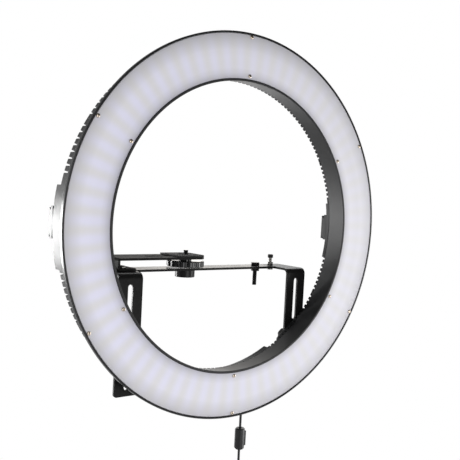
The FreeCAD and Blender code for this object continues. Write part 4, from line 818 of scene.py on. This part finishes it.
# Small fasteners of the bar: a black bolt that hangs below it, a zinc-plated post with nut
# and rubber cap on the right arm, and the nuts under the plate's foot. Heads are hexagons,
# threads are rolled.


def threaded(name, radius, pitch, low, high, place):
    """A threaded shank along Z, with a ridge for each pitch."""
    count = round((high - low) / pitch)
    root = radius - pitch * 0.4
    section = [(0.0, low), (root, low)]
    for ridge in range(count):
        start = low + (high - low) * ridge / count
        section.append((root, start + pitch * 0.1))
        section.append((radius, start + pitch * 0.5))
        section.append((root, start + pitch * 0.9))
    section += [(root, high), (0.0, high)]
    return smoothed(turned(name, section, place, "Z", 32), 30.0)


def hexagonal(name, radius, low, high, place):
    """A six-sided head or nut along Z."""
    turns = [math.radians(60 * k) for k in range(6)]
    corners = [(radius * math.cos(turn), radius * math.sin(turn)) for turn in turns]
    return softened(raised(name, corners, low, high, place), 0.0004, 2)


bolt_place = (0.120, 0.0, 0.0)
bolt_head = hexagonal("hanging_head", radius=0.00635, low=0.0125, high=0.0170, place=bolt_place)
bolt_shank = threaded(
    "hanging_shank", radius=0.0031, pitch=0.001, low=-0.0150, high=0.0125, place=bolt_place
)
hanging_bolt = joined("hanging_bolt", [bolt_head, bolt_shank])
done(hanging_bolt, coated, "yoke", "accessory_bolt")
nut = done(broken("accessory_nut", 0.0005, 2), coated, "yoke", "accessory_nut")

post_place = (0.153, 0.006, 0.0)
post_head = hexagonal("arm_post_head", radius=0.00462, low=0.0055, high=0.0095, place=post_place)
post_shank = threaded(
    "arm_post_shank", radius=0.0025, pitch=0.0008, low=0.0095, high=0.0255, place=post_place
)
arm_post = joined("arm_post", [post_head, post_shank])
done(arm_post, zinc, "yoke", "arm_bolt")
post_nut = done(broken("arm_nut", 0.0005, 2), zinc, "yoke", "arm_nut")
cap = done(broken("arm_cap", 0.001, 4), rubbery, "yoke", "arm_cap")
foot_nuts = done(broken("foot_nuts", 0.0004, 2), zinc, "yoke", "foot_nuts")

# Cord: a slim round supply lead in a soft black jacket. It hangs plumb from the plug
# through the ferrite, and the length that is put away is wound in four layers, tied,
# below the view.

CORD_DIAMETER = 0.0033
CORD_HANGS = [
    (0.0765, -0.039, -0.1838),
    (0.0765, -0.039, -0.238),
    (0.077, -0.0392, -0.262),
    (0.077, -0.0392, -0.288),
]
COIL_OUTER = 0.022
COIL_STEP = 0.00395
COIL_STRAIGHT = 0.010
COIL_HALF_TURNS = 16


def coil_points():
    """Half turns with straight sides: two turns inwards, two outwards, twice.

    The curve runs inside its points, so the points stand a little further out."""
    x, y, z = CORD_HANGS[-1]
    ease = 1 / (0.75 + 0.25 * math.cos(math.pi / 6))
    radius = COIL_OUTER
    points = []
    for half in range(COIL_HALF_TURNS):
        layer = half // 4
        growth = COIL_STEP / 2 if layer % 2 else -COIL_STEP / 2
        reach = radius + growth / 2
        way = -1 if half % 2 else 1
        centre = x - COIL_OUTER + way * (radius - reach)
        low = z - COIL_STRAIGHT if way == 1 else z
        for step in range(6):
            angle = math.radians(15 + 30 * step)
            across = centre + way * reach * ease * math.cos(angle)
            height = low - way * reach * ease * math.sin(angle)
            points.append((across, y + layer * COIL_STEP, height))
        radius += growth
    return points


cord_points = CORD_HANGS + coil_points()
x, _, z = CORD_HANGS[-1]
last_layer = cord_points[-1][1]
for drop in (0.012, 0.027):
    cord_points.append((x, last_layer, z - drop))
route = bpy.data.curves.new("power_lead", "CURVE")
route.dimensions = "3D"
line = route.splines.new("NURBS")
line.points.add(len(cord_points) - 1)
for point, place in zip(line.points, cord_points):
    point.co = (*place, 1.0)
line.order_u = 3
line.use_endpoint_u = True
line.resolution_u = 4
route.bevel_depth = CORD_DIAMETER / 2
route.bevel_resolution = 3
route.use_fill_caps = True
cord = bpy.data.objects.new("power_lead", route)
bpy.context.scene.collection.objects.link(cord)
jacket = Finish("cord_jacket", (0.012, 0.012, 0.013), Roughness=0.42, Specular_IOR_Level=0.45)
jacket.bump(jacket.noise(scale=2600.0, detail=3.0), strength=0.25, distance=0.0002)
dressed(cord, jacket)
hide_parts("supply_cord")
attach(cord, "lamp")

# Plug, ferrite, tie and far connector of the cord: moulded soft plastic. The plug's relief
# is ribbed, and the ferrite's two half shells are held by a latch round a grey core.

ceramic = grained(
    "ferrite_grey", (0.035, 0.034, 0.036), rough=0.6, grain=2400.0, relief=0.0002
)
RIBS = 6
RIB_PITCH = 0.0022
plug_section = [
    (0.0, -0.1386), (0.00265, -0.1386), (0.00265, -0.1488), (0.0040, -0.1488),
    (0.00475, -0.1496), (0.00475, -0.1690), (0.0042, -0.1698),
]
for rib in range(RIBS):
    top = -0.1700 - rib * RIB_PITCH
    wide = 0.0037 - rib * 0.00025
    narrow = wide - 0.0007
    plug_section += [(narrow, top), (narrow, top - 0.0007)]
    plug_section += [(wide, top - 0.0009), (wide, top - 0.0020)]
plug_section += [(0.0022, -0.1836), (0.0, -0.1838)]
plug = turned("power_plug", plug_section, (0.0765, -0.039, 0.0), "Z", 40)
softened(plug, 0.0002, 2)
done(plug, rubbery, "lamp", "dc_plug")
shell_front = done(broken("ferrite_shell_front", 0.0006, 3), satin, "lamp", "ferrite_shell_front")
shell_back = done(broken("ferrite_shell_back", 0.0006, 3), satin, "lamp", "ferrite_shell_back")
connector = done(broken("adapter_connector", 0.0004, 3), rubbery, "lamp", "adapter_connector")
tie = done(broken("cord_tie", 0.0003, 2), rubbery, "lamp", "cord_tie")
core = dressed(bpy.data.objects["ferrite_core"], ceramic)
